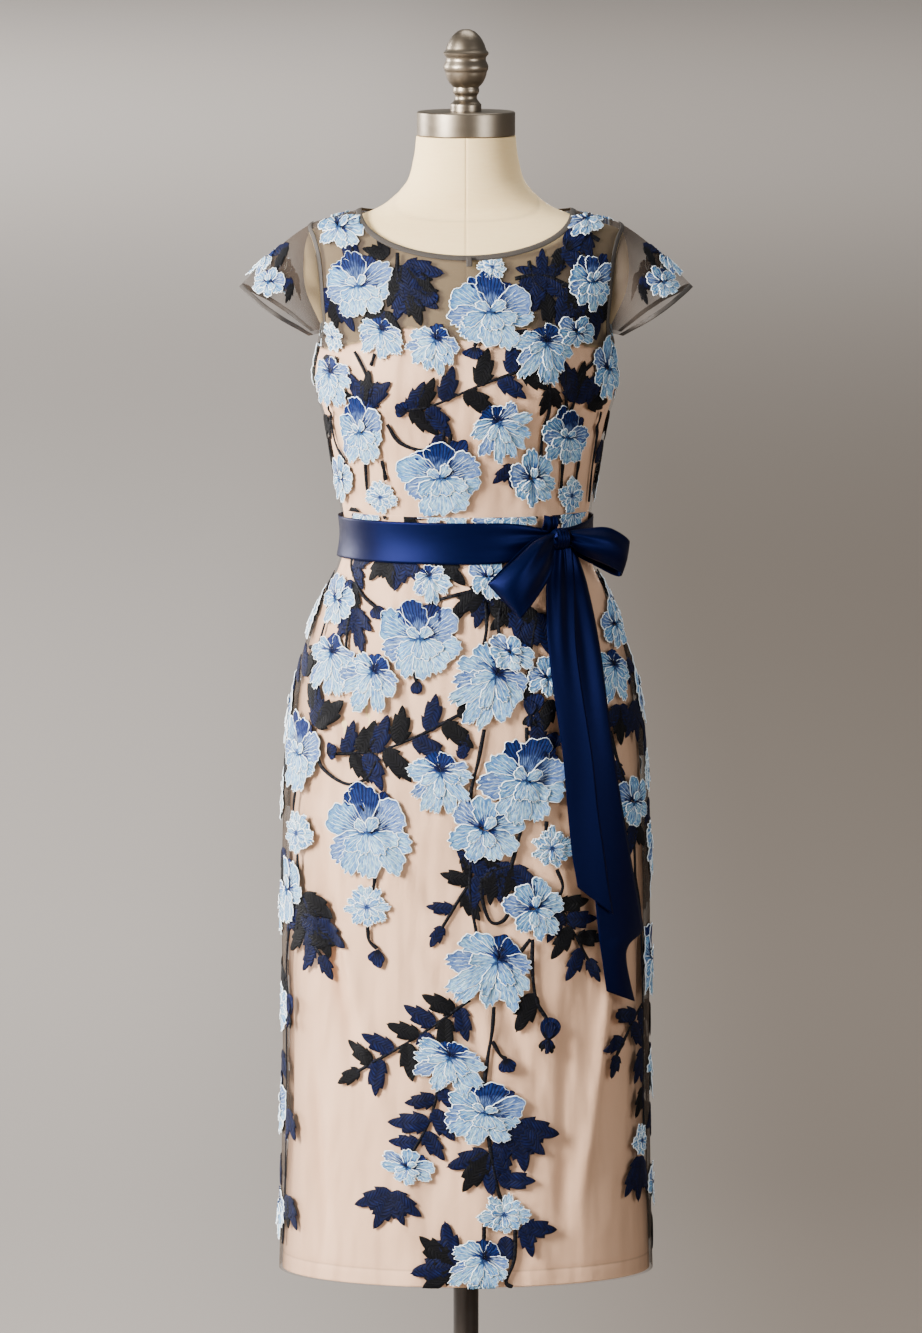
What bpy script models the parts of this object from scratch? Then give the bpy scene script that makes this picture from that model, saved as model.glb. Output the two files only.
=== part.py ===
"""A fitted sheath dress with a sheer overlay, cap sleeves and a ribbon belt, on a dress form with a stand.

Run with: blender --background --python part.py
Metres, +Z up. The front faces -Y and the wearer's left is +X. The origin is under the middle of the stand.

Every layer of the dress follows one body surface. A place on it is (turn, row): turn is the angle in
degrees from the centre front towards the wearer's left, and row is a height counted in rows of SECTIONS.
Each panel is an open grid of such places, moved out or in along the surface's normal, and Solidify
gives it its wall.
"""

import bmesh
import bpy
import numpy as np
from mathutils import Matrix, Vector

# Driving sizes, in metres
HEM = 0.335
WAIST_SEAM = 1.104
BAND_BOTTOM = 1.060
LINING_WAIST = 1.080
UNDERARM = 1.2735
SHOULDER_TIP = 1.388
NECK_POINT = 1.404
NECK_HALF_WIDTH = 0.1035
FRONT_NECK = 1.363
BACK_NECK = 1.3965
FORM_TOP = 1.4765
FORM_BOTTOM = 0.765
WALL = 0.001
LAYER_GAP = 0.0016
SIDE_EASE = 0.0045
FORM_GAP = 0.0029
SEAM = 0.00033
SHOULDER_SEAM = 0.0008
LEVEL_SEAM = 0.0003
LINING_SHORTER = 0.0012
BELT_HEIGHT = 0.042
BELT_MIDDLE = 1.0775
BELT_CLEAR = 0.0013
KNOT_TURN = 47.5
KNOT_HEIGHT = 1.0805
BINDING_CLEAR = 0.00105
ARM_BINDING_CLEAR = 0.0016
NECK_BINDING = 0.0055
ARM_BINDING = 0.0048
POLE_RADIUS = 0.01275
BASE_RADIUS = 0.185
ZIP_END = 0.93
ZIP_HALF = 0.0015

# The outer face of the cloth: height, half width at the side, depth in front, depth behind
SECTIONS = np.array([
    (0.335, 0.1885, 0.1300, 0.1280),
    (0.420, 0.1865, 0.1290, 0.1280),
    (0.550, 0.1845, 0.1270, 0.1280),
    (0.700, 0.1850, 0.1260, 0.1300),
    (0.800, 0.1835, 0.1250, 0.1340),
    (0.870, 0.1795, 0.1240, 0.1390),
    (0.930, 0.1710, 0.1200, 0.1360),
    (0.980, 0.1575, 0.1130, 0.1260),
    (1.020, 0.1420, 0.1050, 0.1100),
    (1.050, 0.1280, 0.0970, 0.0940),
    (1.080, 0.1238, 0.0915, 0.0870),
    (1.110, 0.1265, 0.0940, 0.0880),
    (1.150, 0.1335, 0.1030, 0.0940),
    (1.190, 0.1410, 0.1130, 0.1010),
    (1.235, 0.1530, 0.1230, 0.1080),
    (1.275, 0.1470, 0.1180, 0.1110),
    (1.290, 0.1530, 0.1140, 0.1115),
    (1.320, 0.1635, 0.1060, 0.1100),
    (1.355, 0.1670, 0.0920, 0.1030),
    (1.375, 0.1640, 0.0790, 0.0900),
    (1.388, 0.1560, 0.0680, 0.0750),
    (1.397, 0.1290, 0.0600, 0.0640),
    (1.404, 0.1040, 0.0560, 0.0580),
    (1.414, 0.0790, 0.0540, 0.0530),
    (1.430, 0.0595, 0.0515, 0.0515),
    (1.455, 0.0520, 0.0500, 0.0500),
    (1.4765, 0.0495, 0.0495, 0.0495),
])
HEIGHT, HALF_WIDTH, FRONT, BACK = SECTIONS.T
LAST_ROW = len(SECTIONS) - 1

# Soft fullness of the cups, one each side of the centre front
CUP_OUT, CUP_APART, CUP_WIDE, CUP_HEIGHT, CUP_TALL = 0.008, 0.062, 0.045, 1.232, 0.045

# Heights of the rings in each panel
SKIRT_RINGS = (HEM, 0.48, 0.63, 0.75, 0.83, 0.885, 0.925, 0.96, 0.99, 1.02, BAND_BOTTOM)
BODICE_RINGS = (WAIST_SEAM, 1.14, 1.17, 1.195, 1.215, 1.235, 1.255, UNDERARM)
# Columns of half a panel from its centre line to its side, and the one at the armhole binding's inner edge
COLUMNS = 8
NECK_COLUMNS = 5
BINDING_COLUMN = 7.65
# Shares of the way up from the underarm to the shoulder or neckline; the last but one is the binding's edge
YOKE_SHARES = (0.07, 0.19, 0.33, 0.47, 0.61, 0.75, 0.86, 0.94, 1.0)
ARMHOLE_BOW = {"front": 29.0, "back": 24.0}

# Ribbon tails: height, nearer edge and farther edge across the front, distance out from the skirt
SHORT_TAIL = (
    (1.0672, 0.0850, 0.1000, 0.0062),
    (1.0300, 0.0790, 0.1010, 0.0072),
    (0.9650, 0.0820, 0.1080, 0.0094),
    (0.8700, 0.0940, 0.1240, 0.0092),
    (0.8100, 0.1000, 0.1290, 0.0090),
    (0.7400, 0.1115, 0.1480, 0.0088),
    (0.7090, 0.1155, 0.1545, 0.0088),
)
LONG_TAIL = (
    (1.0672, 0.0870, 0.1020, 0.0042),
    (1.0300, 0.0880, 0.1150, 0.0050),
    (0.9650, 0.0980, 0.1320, 0.0062),
    (0.8700, 0.1120, 0.1460, 0.0058),
    (0.7600, 0.1260, 0.1620, 0.0056),
    (0.6800, 0.1340, 0.1750, 0.0056),
    (0.6600, 0.1370, 0.1640, 0.0056),
    (0.6140, 0.1415, 0.1675, 0.0056),
)
TAIL_END_SLANT = {"short": 0.013, "long": 0.007}


def finish(name, colour, roughness, metallic=0.0):
    material = bpy.data.materials.new(name)
    material.use_nodes = True
    shader = material.node_tree.nodes["Principled BSDF"]
    shader.inputs["Base Color"].default_value = (*colour, 1.0)
    shader.inputs["Roughness"].default_value = roughness
    shader.inputs["Metallic"].default_value = metallic
    return material


def clear_scene():
    for thing in list(bpy.data.objects):
        bpy.data.objects.remove(thing, do_unlink=True)


def add(name, mesh, material, collection):
    thing = bpy.data.objects.new(name, mesh)
    mesh.materials.append(material)
    collection.objects.link(thing)
    return thing


# The body surface

def along(column, row):
    """Smooth curve (Catmull-Rom) through one column of SECTIONS, at a row number that may be a fraction."""
    i = np.clip(np.floor(row).astype(int), 0, LAST_ROW - 1)
    t = row - i
    before, start = column[np.maximum(i - 1, 0)], column[i]
    end, after = column[i + 1], column[np.minimum(i + 2, LAST_ROW)]
    return 0.5 * (
        2 * start
        + (end - before) * t
        + (2 * before - 5 * start + 4 * end - after) * t**2
        + (3 * start - before - 3 * end + after) * t**3
    )


FINE_ROWS = np.linspace(0, LAST_ROW, 2001)
FINE_HEIGHTS = along(HEIGHT, FINE_ROWS)


def row_at(height):
    return np.interp(height, FINE_HEIGHTS, FINE_ROWS)


def skin(turn, row):
    """Points of the body surface: half an ellipse in front and half behind, with two soft cups."""
    turn, row = np.broadcast_arrays(np.asarray(turn, float), np.asarray(row, float))
    angle = np.radians(turn)
    across, ahead = np.sin(angle), np.cos(angle)
    depth = np.where(ahead >= 0, along(FRONT, row), along(BACK, row))
    x, z = along(HALF_WIDTH, row) * across, along(HEIGHT, row)
    side = sum(np.exp(-(((x - middle) / CUP_WIDE) ** 2)) for middle in (-CUP_APART, CUP_APART))
    cup = CUP_OUT * side * np.exp(-(((z - CUP_HEIGHT) / CUP_TALL) ** 2)) * np.clip(ahead, 0, 1)
    return np.stack([x, -depth * ahead - cup, z], axis=-1)


def normal(turn, row):
    """Unit normal that points out, from differences of the surface."""
    step_turn, step_row = 0.5, 0.02
    row = np.clip(row, step_row, LAST_ROW - step_row)
    around = skin(turn + step_turn, row) - skin(turn - step_turn, row)
    up = skin(turn, row + step_row) - skin(turn, row - step_row)
    out = np.cross(around, up)
    return out / np.linalg.norm(out, axis=-1, keepdims=True)


def moved(turn, row, out):
    """Surface points moved out along the normal (in, where out is negative)."""
    return skin(turn, row) + normal(turn, row) * np.asarray(out)[..., None]


def smooth_step(value, low, high):
    t = np.clip((value - low) / (high - low), 0, 1)
    return t * t * (3 - 2 * t)


def ease(turn, height):
    """How much deeper the lining lies under the overlay at the sides of the skirt."""
    below_waist = 1 - smooth_step(height, 0.86, 1.04)
    above_hem = 0.4 + 0.6 * smooth_step(height, HEM, 0.45)
    return SIDE_EASE * np.sin(np.radians(turn)) ** 2 * below_waist * above_hem


def lining_out(turn, height):
    return -(WALL + LAYER_GAP) - ease(turn, height)


def overlay_out(turn, height):
    return np.zeros(np.broadcast(turn, height).shape)


# Building walls from grids

def grid_mesh(name, points, ring=False):
    """Quads over a grid of points; columns run to the viewer's right, rows run up. A ring joins its ends."""
    rows, columns = points.shape[:2]
    index = np.arange(rows * columns).reshape(rows, columns)
    right = np.roll(index, -1, axis=1)
    if not ring:
        index, right = index[:, :-1], right[:, :-1]
    quads = np.stack([index[:-1], right[:-1], right[1:], index[1:]], axis=-1).reshape(-1, 4)
    mesh = bpy.data.meshes.new(name)
    mesh.from_pydata(points.reshape(-1, 3).tolist(), [], quads.tolist())
    mesh.shade_smooth()
    return mesh


def panel(name, points, material, collection, ring=False):
    """A cloth piece: its outer face is the grid, and its wall goes inward."""
    piece = add(name, grid_mesh(name, points, ring), material, collection)
    solidify = piece.modifiers.new("wall", "SOLIDIFY")
    solidify.thickness = WALL
    solidify.offset = -1
    solidify.use_even_offset = False
    return piece


def seam_reach(turn, row):
    """How far the surface moves for one radian of turn, at a side seam or at the centre back."""
    at_side = turn % 180 == 90
    return np.minimum(along(FRONT, row), along(BACK, row)) if at_side else along(HALF_WIDTH, row)


def seam_turns(first, last, height, extra_first=0.0, extra_last=0.0):
    """Column turns between two seams, drawn in by half a seam at each end, one row a height."""
    row = row_at(np.atleast_1d(height))
    start = first + np.degrees((SEAM + extra_first) / seam_reach(first, row))
    stop = last - np.degrees((SEAM + extra_last) / seam_reach(last, row))
    share = np.linspace(0, 1, int(round((last - first) / 90 * COLUMNS)) + 1)
    return start[:, None] + (stop - start)[:, None] * share


def tube_panel(name, seams, heights, out, material, collection):
    """A panel of level rings between two seams: first turn, last turn, and -1 or 1 for the zip's edge."""
    first, last, zip_side = seams
    heights = np.array(heights, float)
    zip_room = (ZIP_HALF + SEAM) * smooth_step(heights, ZIP_END - 0.03, ZIP_END)
    turns = seam_turns(
        first,
        last,
        heights,
        zip_room if zip_side < 0 else 0.0 * heights,
        zip_room if zip_side > 0 else 0.0 * heights,
    )
    levels = np.broadcast_to(heights[:, None], turns.shape)
    return panel(name, moved(turns, row_at(levels), out(turns, levels)), material, collection)


# The three parts of each layer: name, first seam, last seam, zip side
PANELS = (("front", -90, 90, 0), ("back_left", 90, 180, 1), ("back_right", 180, 270, -1))


def inset(heights):
    """Rings whose first and last are drawn in by half a level seam."""
    heights = list(heights)
    heights[0] += LEVEL_SEAM
    heights[-1] -= LEVEL_SEAM
    return heights


def skirt_layers(collection, lining, mesh_cloth):
    lining_rings = [HEM + LINING_SHORTER, *SKIRT_RINGS[1:-1], 1.05, LINING_WAIST - LEVEL_SEAM]
    band_rings = inset((BAND_BOTTOM, 0.5 * (BAND_BOTTOM + WAIST_SEAM), WAIST_SEAM))
    for part, *seams in PANELS:
        tube_panel("lining_skirt_" + part, seams, lining_rings, lining_out, lining, collection)
        tube_panel("mesh_skirt_" + part, seams, inset(SKIRT_RINGS), overlay_out, mesh_cloth, collection)
        tube_panel("mesh_waistband_" + part, seams, band_rings, overlay_out, mesh_cloth, collection)


def lining_top(turn):
    """Heart-shaped top edge in front, level behind."""
    from_front = np.abs((turn + 180) % 360 - 180)
    crest = 0.0125 * np.exp(-(((from_front - 22) / 14) ** 2))
    front = 1.2805 + crest - 0.0135 * smooth_step(from_front, 30, 75)
    return np.where(from_front <= 90, front, 1.267)


def lining_bodice(collection, lining):
    for part, first, last, zip_side in PANELS:
        rings = np.array([LINING_WAIST + LEVEL_SEAM, WAIST_SEAM, *BODICE_RINGS[1:-1]])
        turns = seam_turns(first, last, UNDERARM)[0]
        levels = np.repeat(rings[:, None], len(turns), axis=1)
        top = lining_top(turns)
        levels = np.vstack([levels, 0.5 * (levels[-1] + top), top])
        room = ZIP_HALF + SEAM
        turns = seam_turns(first, last, levels[:, 0], room * (zip_side < 0), room * (zip_side > 0))
        points = moved(turns, row_at(levels), lining_out(turns, levels))
        panel("lining_bodice_" + part, points, lining, collection)


def neckline(face, w):
    """Angle from the face's centre and row of the neckline; w is 0 at the centre and 1 at the neck point."""
    low = FRONT_NECK if face == "front" else BACK_NECK
    x = NECK_HALF_WIDTH * np.sin(np.radians(90 * w))
    row = row_at(low + (NECK_POINT - low) * (1 - np.cos(np.radians(90 * w))))
    angle = np.degrees(np.arcsin(np.clip(x / along(HALF_WIDTH, row), -1, 1)))
    return np.where(w > 0.999, 90.0, angle), row


BODICE_COLUMNS = np.append(np.arange(COLUMNS), (BINDING_COLUMN, COLUMNS)).astype(float)


def yoke_half(face):
    """Angles from the face's centre and rows above the underarm, from the centre line out to the armhole."""
    column = BODICE_COLUMNS
    w = 1 - (1 - np.clip(column / NECK_COLUMNS, 0, 1)) ** 1.6
    neck_angle, neck_row = neckline(face, w)
    shoulder = np.clip((column - NECK_COLUMNS) / (COLUMNS - NECK_COLUMNS), 0, 1)
    top_row = neck_row + shoulder * (row_at(SHOULDER_TIP) - row_at(NECK_POINT))
    foot_angle = 90 * column / COLUMNS
    s = np.array(YOKE_SHARES)[:, None]
    bow = ARMHOLE_BOW[face] * (column / COLUMNS) ** 2 * np.sin(np.pi * s) ** 0.55
    angle = foot_angle + (neck_angle - foot_angle) * s - bow
    row = row_at(UNDERARM) + (top_row - row_at(UNDERARM)) * s
    return angle, row


def bodice_half(face, centre_room, seams=True):
    """Angles from the face's centre and rows of half a bodice panel, with room left at its edges."""
    rings = np.array(inset([*BODICE_RINGS, 2.0])[:-1])
    foot = np.broadcast_to(90 * BODICE_COLUMNS / COLUMNS, (len(rings), len(BODICE_COLUMNS)))
    angle, row = yoke_half(face)
    angle = np.vstack([foot, angle])
    row = np.vstack([np.broadcast_to(row_at(rings)[:, None], foot.shape), row])
    if not seams:
        return angle, row
    share = BODICE_COLUMNS / COLUMNS
    near = np.degrees(centre_room / along(HALF_WIDTH, row)) * (1 - share)
    edge = np.where(share > 0, SEAM, 0) * share + np.zeros(row.shape)
    edge[-1, NECK_COLUMNS:] = SHOULDER_SEAM
    far = np.degrees(edge / along(FRONT, row))
    return angle + near - far, row


def bodice_layer(collection, mesh_cloth):
    angle, row = bodice_half("front", 0.0)
    turns = np.hstack([-angle[:, :0:-1], angle])
    rows = np.hstack([row[:, :0:-1], row])
    panel("mesh_bodice_front", moved(turns, rows, 0 * rows), mesh_cloth, collection)
    angle, row = bodice_half("back", ZIP_HALF + 2 * SEAM)
    left = moved(180 - angle[:, ::-1], row[:, ::-1], 0 * row)
    panel("mesh_bodice_back_left", left, mesh_cloth, collection)
    panel("mesh_bodice_back_right", mirrored(left), mesh_cloth, collection)


def mirrored(points):
    """The same grid on the other side of the middle, with its columns turned round to face out again."""
    return (points * np.array([-1.0, 1.0, 1.0]))[:, ::-1]


def half_grid(face):
    """Points and normals of half a bodice face on the wearer's left, from the panel's own grid."""
    angle, row = bodice_half(face, 0.0, seams=False)
    turn = angle if face == "front" else 180 - angle
    return skin(turn, row), normal(turn, row)


def toward(start, end, distance):
    return start + (end - start) * (distance / np.linalg.norm(end - start))


def neck_strip():
    """The neck binding's lower and upper edges, from the zip on the wearer's right round to the left."""
    halves = []
    for face in ("front", "back"):
        points, out = half_grid(face)
        points = points + out * (BINDING_CLEAR + WALL)
        lower, upper = points[-2, :NECK_COLUMNS + 1], points[-1, :NECK_COLUMNS + 1].copy()
        neck_point = points[-1, NECK_COLUMNS]
        below = toward(neck_point, points[-1, NECK_COLUMNS + 1], NECK_BINDING)
        upper[-1] = toward(neck_point, upper[-2], SHOULDER_SEAM)
        halves.append(np.stack([np.vstack([lower, below]), np.vstack([upper, neck_point])]))
    front, back = halves
    back[:, 0, 0] = ZIP_HALF + 2 * SEAM
    left = np.concatenate([front, back[:, -2::-1]], axis=1)
    right = mirrored(left)[:, :-1]
    return np.concatenate([right, left], axis=1)


def armhole_edge():
    """Turns and rows round the left armhole, from the underarm up the front and down the back."""
    edges = []
    underarm = len(BODICE_RINGS) - 1
    for face in ("front", "back"):
        angle, row = bodice_half(face, 0.0, seams=False)
        turn, row = (angle if face == "front" else 180 - angle)[underarm:, -1], row[underarm:, -1]
        turn = np.array([turn[0], 0.5 * (turn[0] + turn[1]), *turn[1:]])
        row = np.array([row[0], 0.6 * row[0] + 0.4 * row[1], *row[1:]])
        edges.append(np.stack([turn, row]))
    front, back = edges
    return np.concatenate([front, back[:, -2:0:-1]], axis=1)


def armhole_strip():
    """The armhole binding's outer and inner edges: the armhole's edge, and that moved square to itself."""
    turn, row = armhole_edge()
    edge, out = skin(turn, row), normal(turn, row)
    heading = np.roll(edge, -1, axis=0) - np.roll(edge, 1, axis=0)
    inward = np.cross(out, heading)
    inward /= np.linalg.norm(inward, axis=-1, keepdims=True)
    raised = edge + out * (ARM_BINDING_CLEAR + WALL)
    return np.stack([raised, raised + inward * ARM_BINDING])


def bindings(collection, binding):
    panel("neck_binding", neck_strip(), binding, collection)
    strip = armhole_strip()
    panel("armhole_binding_left", strip, binding, collection, ring=True)
    panel("armhole_binding_right", mirrored(strip), binding, collection, ring=True)


# Cap sleeves: the edge hangs from the armhole, and the hem is an arc out over the arm opening
SLEEVE_TIP = (0.2205, 0.0, 1.326)
SLEEVE_LOW = (0.1560, 0.030, 1.279)
SLEEVE_REACH = 0.066
SLEEVE_BULGE = 0.009
SLEEVE_SEAM = 0.0017
SLEEVE_ROWS = 5
SLEEVE_HEM = 0.0045
SLEEVE_HEM_SEAM = 0.0014


def sleeve_parts():
    """Cap sleeve on the wearer's left, and its hem: each a grid whose rows run up towards the armhole."""
    first = len(BODICE_RINGS)
    (front, front_out), (back, back_out) = half_grid("front"), half_grid("back")
    start = np.concatenate([front[first:, -1], back[-2:first - 1:-1, -1]])
    out = np.concatenate([front_out[first:, -1], back_out[-2:first - 1:-1, -1]])
    away = np.cross(np.gradient(start, axis=0), out)
    start = start + away / np.linalg.norm(away, axis=-1, keepdims=True) * SLEEVE_SEAM
    shares = np.array(YOKE_SHARES)
    up = np.arcsin((shares - shares[0]) / (1 - shares[0])) / (np.pi / 2)
    place = np.concatenate([up - 1, 1 - up[-2::-1]])
    w = np.abs(place)
    tip, low = np.array(SLEEVE_TIP), np.array(SLEEVE_LOW)
    hem = tip + (low - tip) * w[:, None] ** 1.15
    hem[:, 1] = np.sign(place) * SLEEVE_REACH * np.sin(0.86 * np.pi * w)
    lift = np.stack([0.6 + 0 * w, 0.9 * np.sin(np.pi / 2 * place), 0.75 * (1 - w) + 0.1], axis=-1)
    lift /= np.linalg.norm(lift, axis=-1, keepdims=True)
    length = np.linalg.norm(hem - start, axis=-1)

    def rows_at(share):
        q = share[..., None]
        return start + (hem - start) * q + lift * SLEEVE_BULGE * 6.75 * q * (1 - q) ** 2

    last = 1 - (SLEEVE_HEM + SLEEVE_HEM_SEAM) / length
    body = rows_at(np.linspace(1, 0, SLEEVE_ROWS + 1)[:, None] * last)
    band = rows_at(np.stack([np.ones(len(length)), 1 - SLEEVE_HEM / length]))
    return body, band


def sleeves(collection, mesh_cloth, binding):
    for name, grid, material in zip(("cap_sleeve_", "sleeve_hem_"), sleeve_parts(), (mesh_cloth, binding)):
        panel(name + "left", grid, material, collection)
        panel(name + "right", mirrored(grid), material, collection)


def neck_loop(collection, binding):
    """Small loop tab just under the middle of the front neck binding."""
    heights = np.array([FRONT_NECK - 0.0115, FRONT_NECK - 0.007, FRONT_NECK - 0.0025])
    turns = np.array([0.2, 1.1, 2.0])
    grid = moved(turns[None, :], row_at(heights)[:, None], np.full((3, 3), BINDING_CLEAR + 2 * WALL + 0.0006))
    panel("neck_loop", grid, binding, collection)


# Ribbon belt and bow

def belt(collection, satin):
    """Ribbon round the waist, pinched in height towards the knot."""
    turns = KNOT_TURN + np.linspace(0, 360, 49)[:-1]
    away = np.abs((turns - KNOT_TURN + 180) % 360 - 180)
    right_of_knot = (turns - KNOT_TURN) % 360 < 180
    pinch = 1 - 0.56 * np.exp(-((away / np.where(right_of_knot, 26.0, 17.0)) ** 2))
    middle = BELT_MIDDLE + (KNOT_HEIGHT - BELT_MIDDLE) * np.exp(-((away / 20) ** 2))
    share = np.array([-0.5, 0.0, 0.5])[:, None]
    levels = middle + share * BELT_HEIGHT * pinch
    out = np.full(levels.shape, BELT_CLEAR + WALL)
    panel("ribbon_belt", moved(turns[None, :], row_at(levels), out), satin, collection, ring=True)


def knot_frame():
    """Place of the knot on the belt, the way along the belt to the wearer's left, and the way out."""
    place = skin(KNOT_TURN, row_at(KNOT_HEIGHT))
    out = normal(KNOT_TURN, row_at(KNOT_HEIGHT))
    out[2] = 0.0
    out /= np.linalg.norm(out)
    return place, np.array([-out[1], out[0], 0.0]), out


# Cage of the rounded knot: along the belt, out, up
KNOT_CAGE = (0.0256, 0.0194, 0.0281)
KNOT_OUT = 0.0112
# Bow loops: way along the belt, way up, length, width, puff, set back, drop of the rear layer
LOOPS = {
    "bow_loop_front": (-0.777, -0.630, 0.094, 0.042, 0.0085, -0.027, (0.004, -0.004)),
    "bow_loop_side": (0.977, -0.213, 0.081, 0.040, 0.0105, 0.0, (0.0, -0.009)),
}
LOOP_START = 0.0122
LOOP_GATHER = 0.013


def bow_loop(name, collection, satin):
    """A ribbon that leaves the knot, folds back at its far end and returns behind itself."""
    along_belt, up, length, width, puff, set_back, drop = LOOPS[name]
    place, belt_way, out = knot_frame()
    axis = along_belt * belt_way + up * np.array([0.0, 0.0, 1.0])
    across = np.cross(out, axis)
    phase = np.linspace(0, 2 * np.pi, 19)
    reach = (1 - np.cos(phase)) / 2
    depth = puff * np.sin(phase) * np.sqrt(reach) + 0.0017 * np.cos(phase / 2)
    half = 0.5 * (LOOP_GATHER + (width - LOOP_GATHER) * smooth_step(reach, 0.0, 0.42))
    rear = smooth_step(phase, 0.7 * np.pi, 1.3 * np.pi) * reach
    middle = place + axis * (LOOP_START + (length - LOOP_START) * reach)[:, None]
    middle = middle + out * (KNOT_OUT + 0.002 + depth - set_back * reach**0.7)[:, None]
    middle = middle + (belt_way * drop[0] + np.array([0.0, 0.0, drop[1]])) * rear[:, None]
    share = np.linspace(-1, 1, 5)[:, None, None]
    grid = middle + across * half[:, None] * share
    if along_belt < 0:
        grid = grid[:, ::-1]
    panel(name, grid[:, ::-1], satin, collection)


def block(name, size):
    shape = bmesh.new()
    bmesh.ops.create_cube(shape, size=1.0)
    bmesh.ops.scale(shape, vec=Vector(size), verts=shape.verts)
    mesh = bpy.data.meshes.new(name)
    shape.to_mesh(mesh)
    shape.free()
    return mesh


def knot(collection, satin):
    place, belt_way, out = knot_frame()
    piece = add("bow_knot", block("bow_knot", KNOT_CAGE), satin, collection)
    soft = piece.modifiers.new("soft", "SUBSURF")
    soft.levels = soft.render_levels = 2
    turn = Matrix((Vector(belt_way), -Vector(out), Vector((0, 0, 1)))).transposed()
    piece.matrix_world = Matrix.Translation(Vector(place + out * KNOT_OUT)) @ turn.to_4x4()
    wrap_turns = KNOT_TURN + np.array([-10.5, -7.0, -3.5])
    levels = KNOT_HEIGHT + np.array([0.0112, 0.0175, 0.0235])
    grid = moved(wrap_turns[None, :], row_at(levels)[:, None], np.full((3, 3), 0.0040))
    panel("knot_wrap", grid, satin, collection)


def tail(name, table, slant, collection, satin):
    """Ribbon tail that hangs over the hip: its edges are read from the table and laid round the skirt."""
    heights, near, far, out = np.array(table).T
    share = np.linspace(0, 1, 5)[None, :]
    x = near[:, None] + (far - near)[:, None] * share
    fall = np.zeros(len(heights))
    fall[-1] = slant
    levels = heights[:, None] + fall[:, None] * (1 - 2 * share)
    half_width = along(HALF_WIDTH, row_at(levels))
    turns = np.degrees(np.arcsin(np.clip(x / half_width, -0.999, 0.999)))
    grid = moved(turns, row_at(levels), np.broadcast_to(out[:, None], turns.shape))
    panel(name, grid[::-1], satin, collection)


# Centre-back zip

ZIP_TOP = 1.3935
ZIP_RINGS = (ZIP_END, 0.96, 0.99, 1.02, 1.05, 1.08, WAIST_SEAM, 1.14, 1.17, 1.195, 1.215, 1.235,
             1.255, 1.275, 1.29, 1.305, 1.32, 1.338, 1.355, 1.366, 1.375, 1.382, 1.388, ZIP_TOP)
SLIDER_HEIGHT = 1.387
SLIDER_SIZE = (0.0046, 0.0085, 0.0022)
SLIDER_OUT = 0.0018
PIVOT_OUT, PIVOT_DOWN = 0.0030, 0.0066
# Pull tab: radii of its two round ends, the way between their middles, half its thickness
PULL_TOP, PULL_FOOT, PULL_LENGTH, PULL_HALF = 0.0019, 0.0033, 0.0185, 0.0005
PULL_REST_HEIGHT, PULL_REST_OUT = 1.3665, 0.0020


def slider_frame():
    """Place of the slider on the back, and its ways: the viewer's right from behind, up and out."""
    place = Vector(skin(180.0, row_at(SLIDER_HEIGHT)))
    out = Vector(normal(180.0, row_at(SLIDER_HEIGHT)))
    right = Vector((-1.0, 0.0, 0.0))
    return place, right, out.cross(right), out


def placed(place, right, up, out):
    return Matrix.Translation(place) @ Matrix((right, up, out)).transposed().to_4x4()


def zip_parts(collection, binding, metal):
    rows = row_at(np.array(ZIP_RINGS))
    half_turn = np.degrees(ZIP_HALF / along(HALF_WIDTH, rows))
    turns = 180 + half_turn[:, None] * np.array([-1.0, 1.0])
    panel("zip_chain", moved(turns, rows[:, None], 0 * turns), binding, collection)

    place, right, up, out = slider_frame()
    slider = add("zip_slider", block("zip_slider", SLIDER_SIZE), metal, collection)
    slider.matrix_world = placed(place + out * SLIDER_OUT, right, up, out)
    round_edges = slider.modifiers.new("edge", "BEVEL")
    round_edges.width = 0.0006
    round_edges.segments = 2

    pivot = place + out * PIVOT_OUT - up * PIVOT_DOWN
    rest = skin(180.0, row_at(PULL_REST_HEIGHT)) + PULL_REST_OUT * normal(180.0, row_at(PULL_REST_HEIGHT))
    pull_up = (pivot - Vector(rest)).normalized()
    outline = bpy.data.curves.new("zip_pull", "CURVE")
    outline.dimensions = "2D"
    outline.fill_mode = "BOTH"
    outline.extrude = PULL_HALF
    spline = outline.splines.new("POLY")
    corners = arc((0, 0), PULL_TOP, 0, 180, 9) + arc((0, -PULL_LENGTH), PULL_FOOT, 180, 360, 9)
    spline.points.add(len(corners) - 1)
    for point, corner in zip(spline.points, corners):
        point.co = (*corner, 0.0, 1.0)
    spline.use_cyclic_u = True
    outline.materials.append(metal)
    pull = bpy.data.objects.new("zip_pull", outline)
    pull.matrix_world = placed(pivot, right, pull_up, right.cross(pull_up))
    collection.objects.link(pull)


def arc(centre, radius, start, end, steps):
    """Points on an arc round a centre, in the plane of the first two axes, angles in degrees."""
    angles = np.radians(np.linspace(start, end, steps))
    return [(centre[0] + radius * np.cos(a), centre[1] + radius * np.sin(a)) for a in angles]


# Dress form and stand

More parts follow.
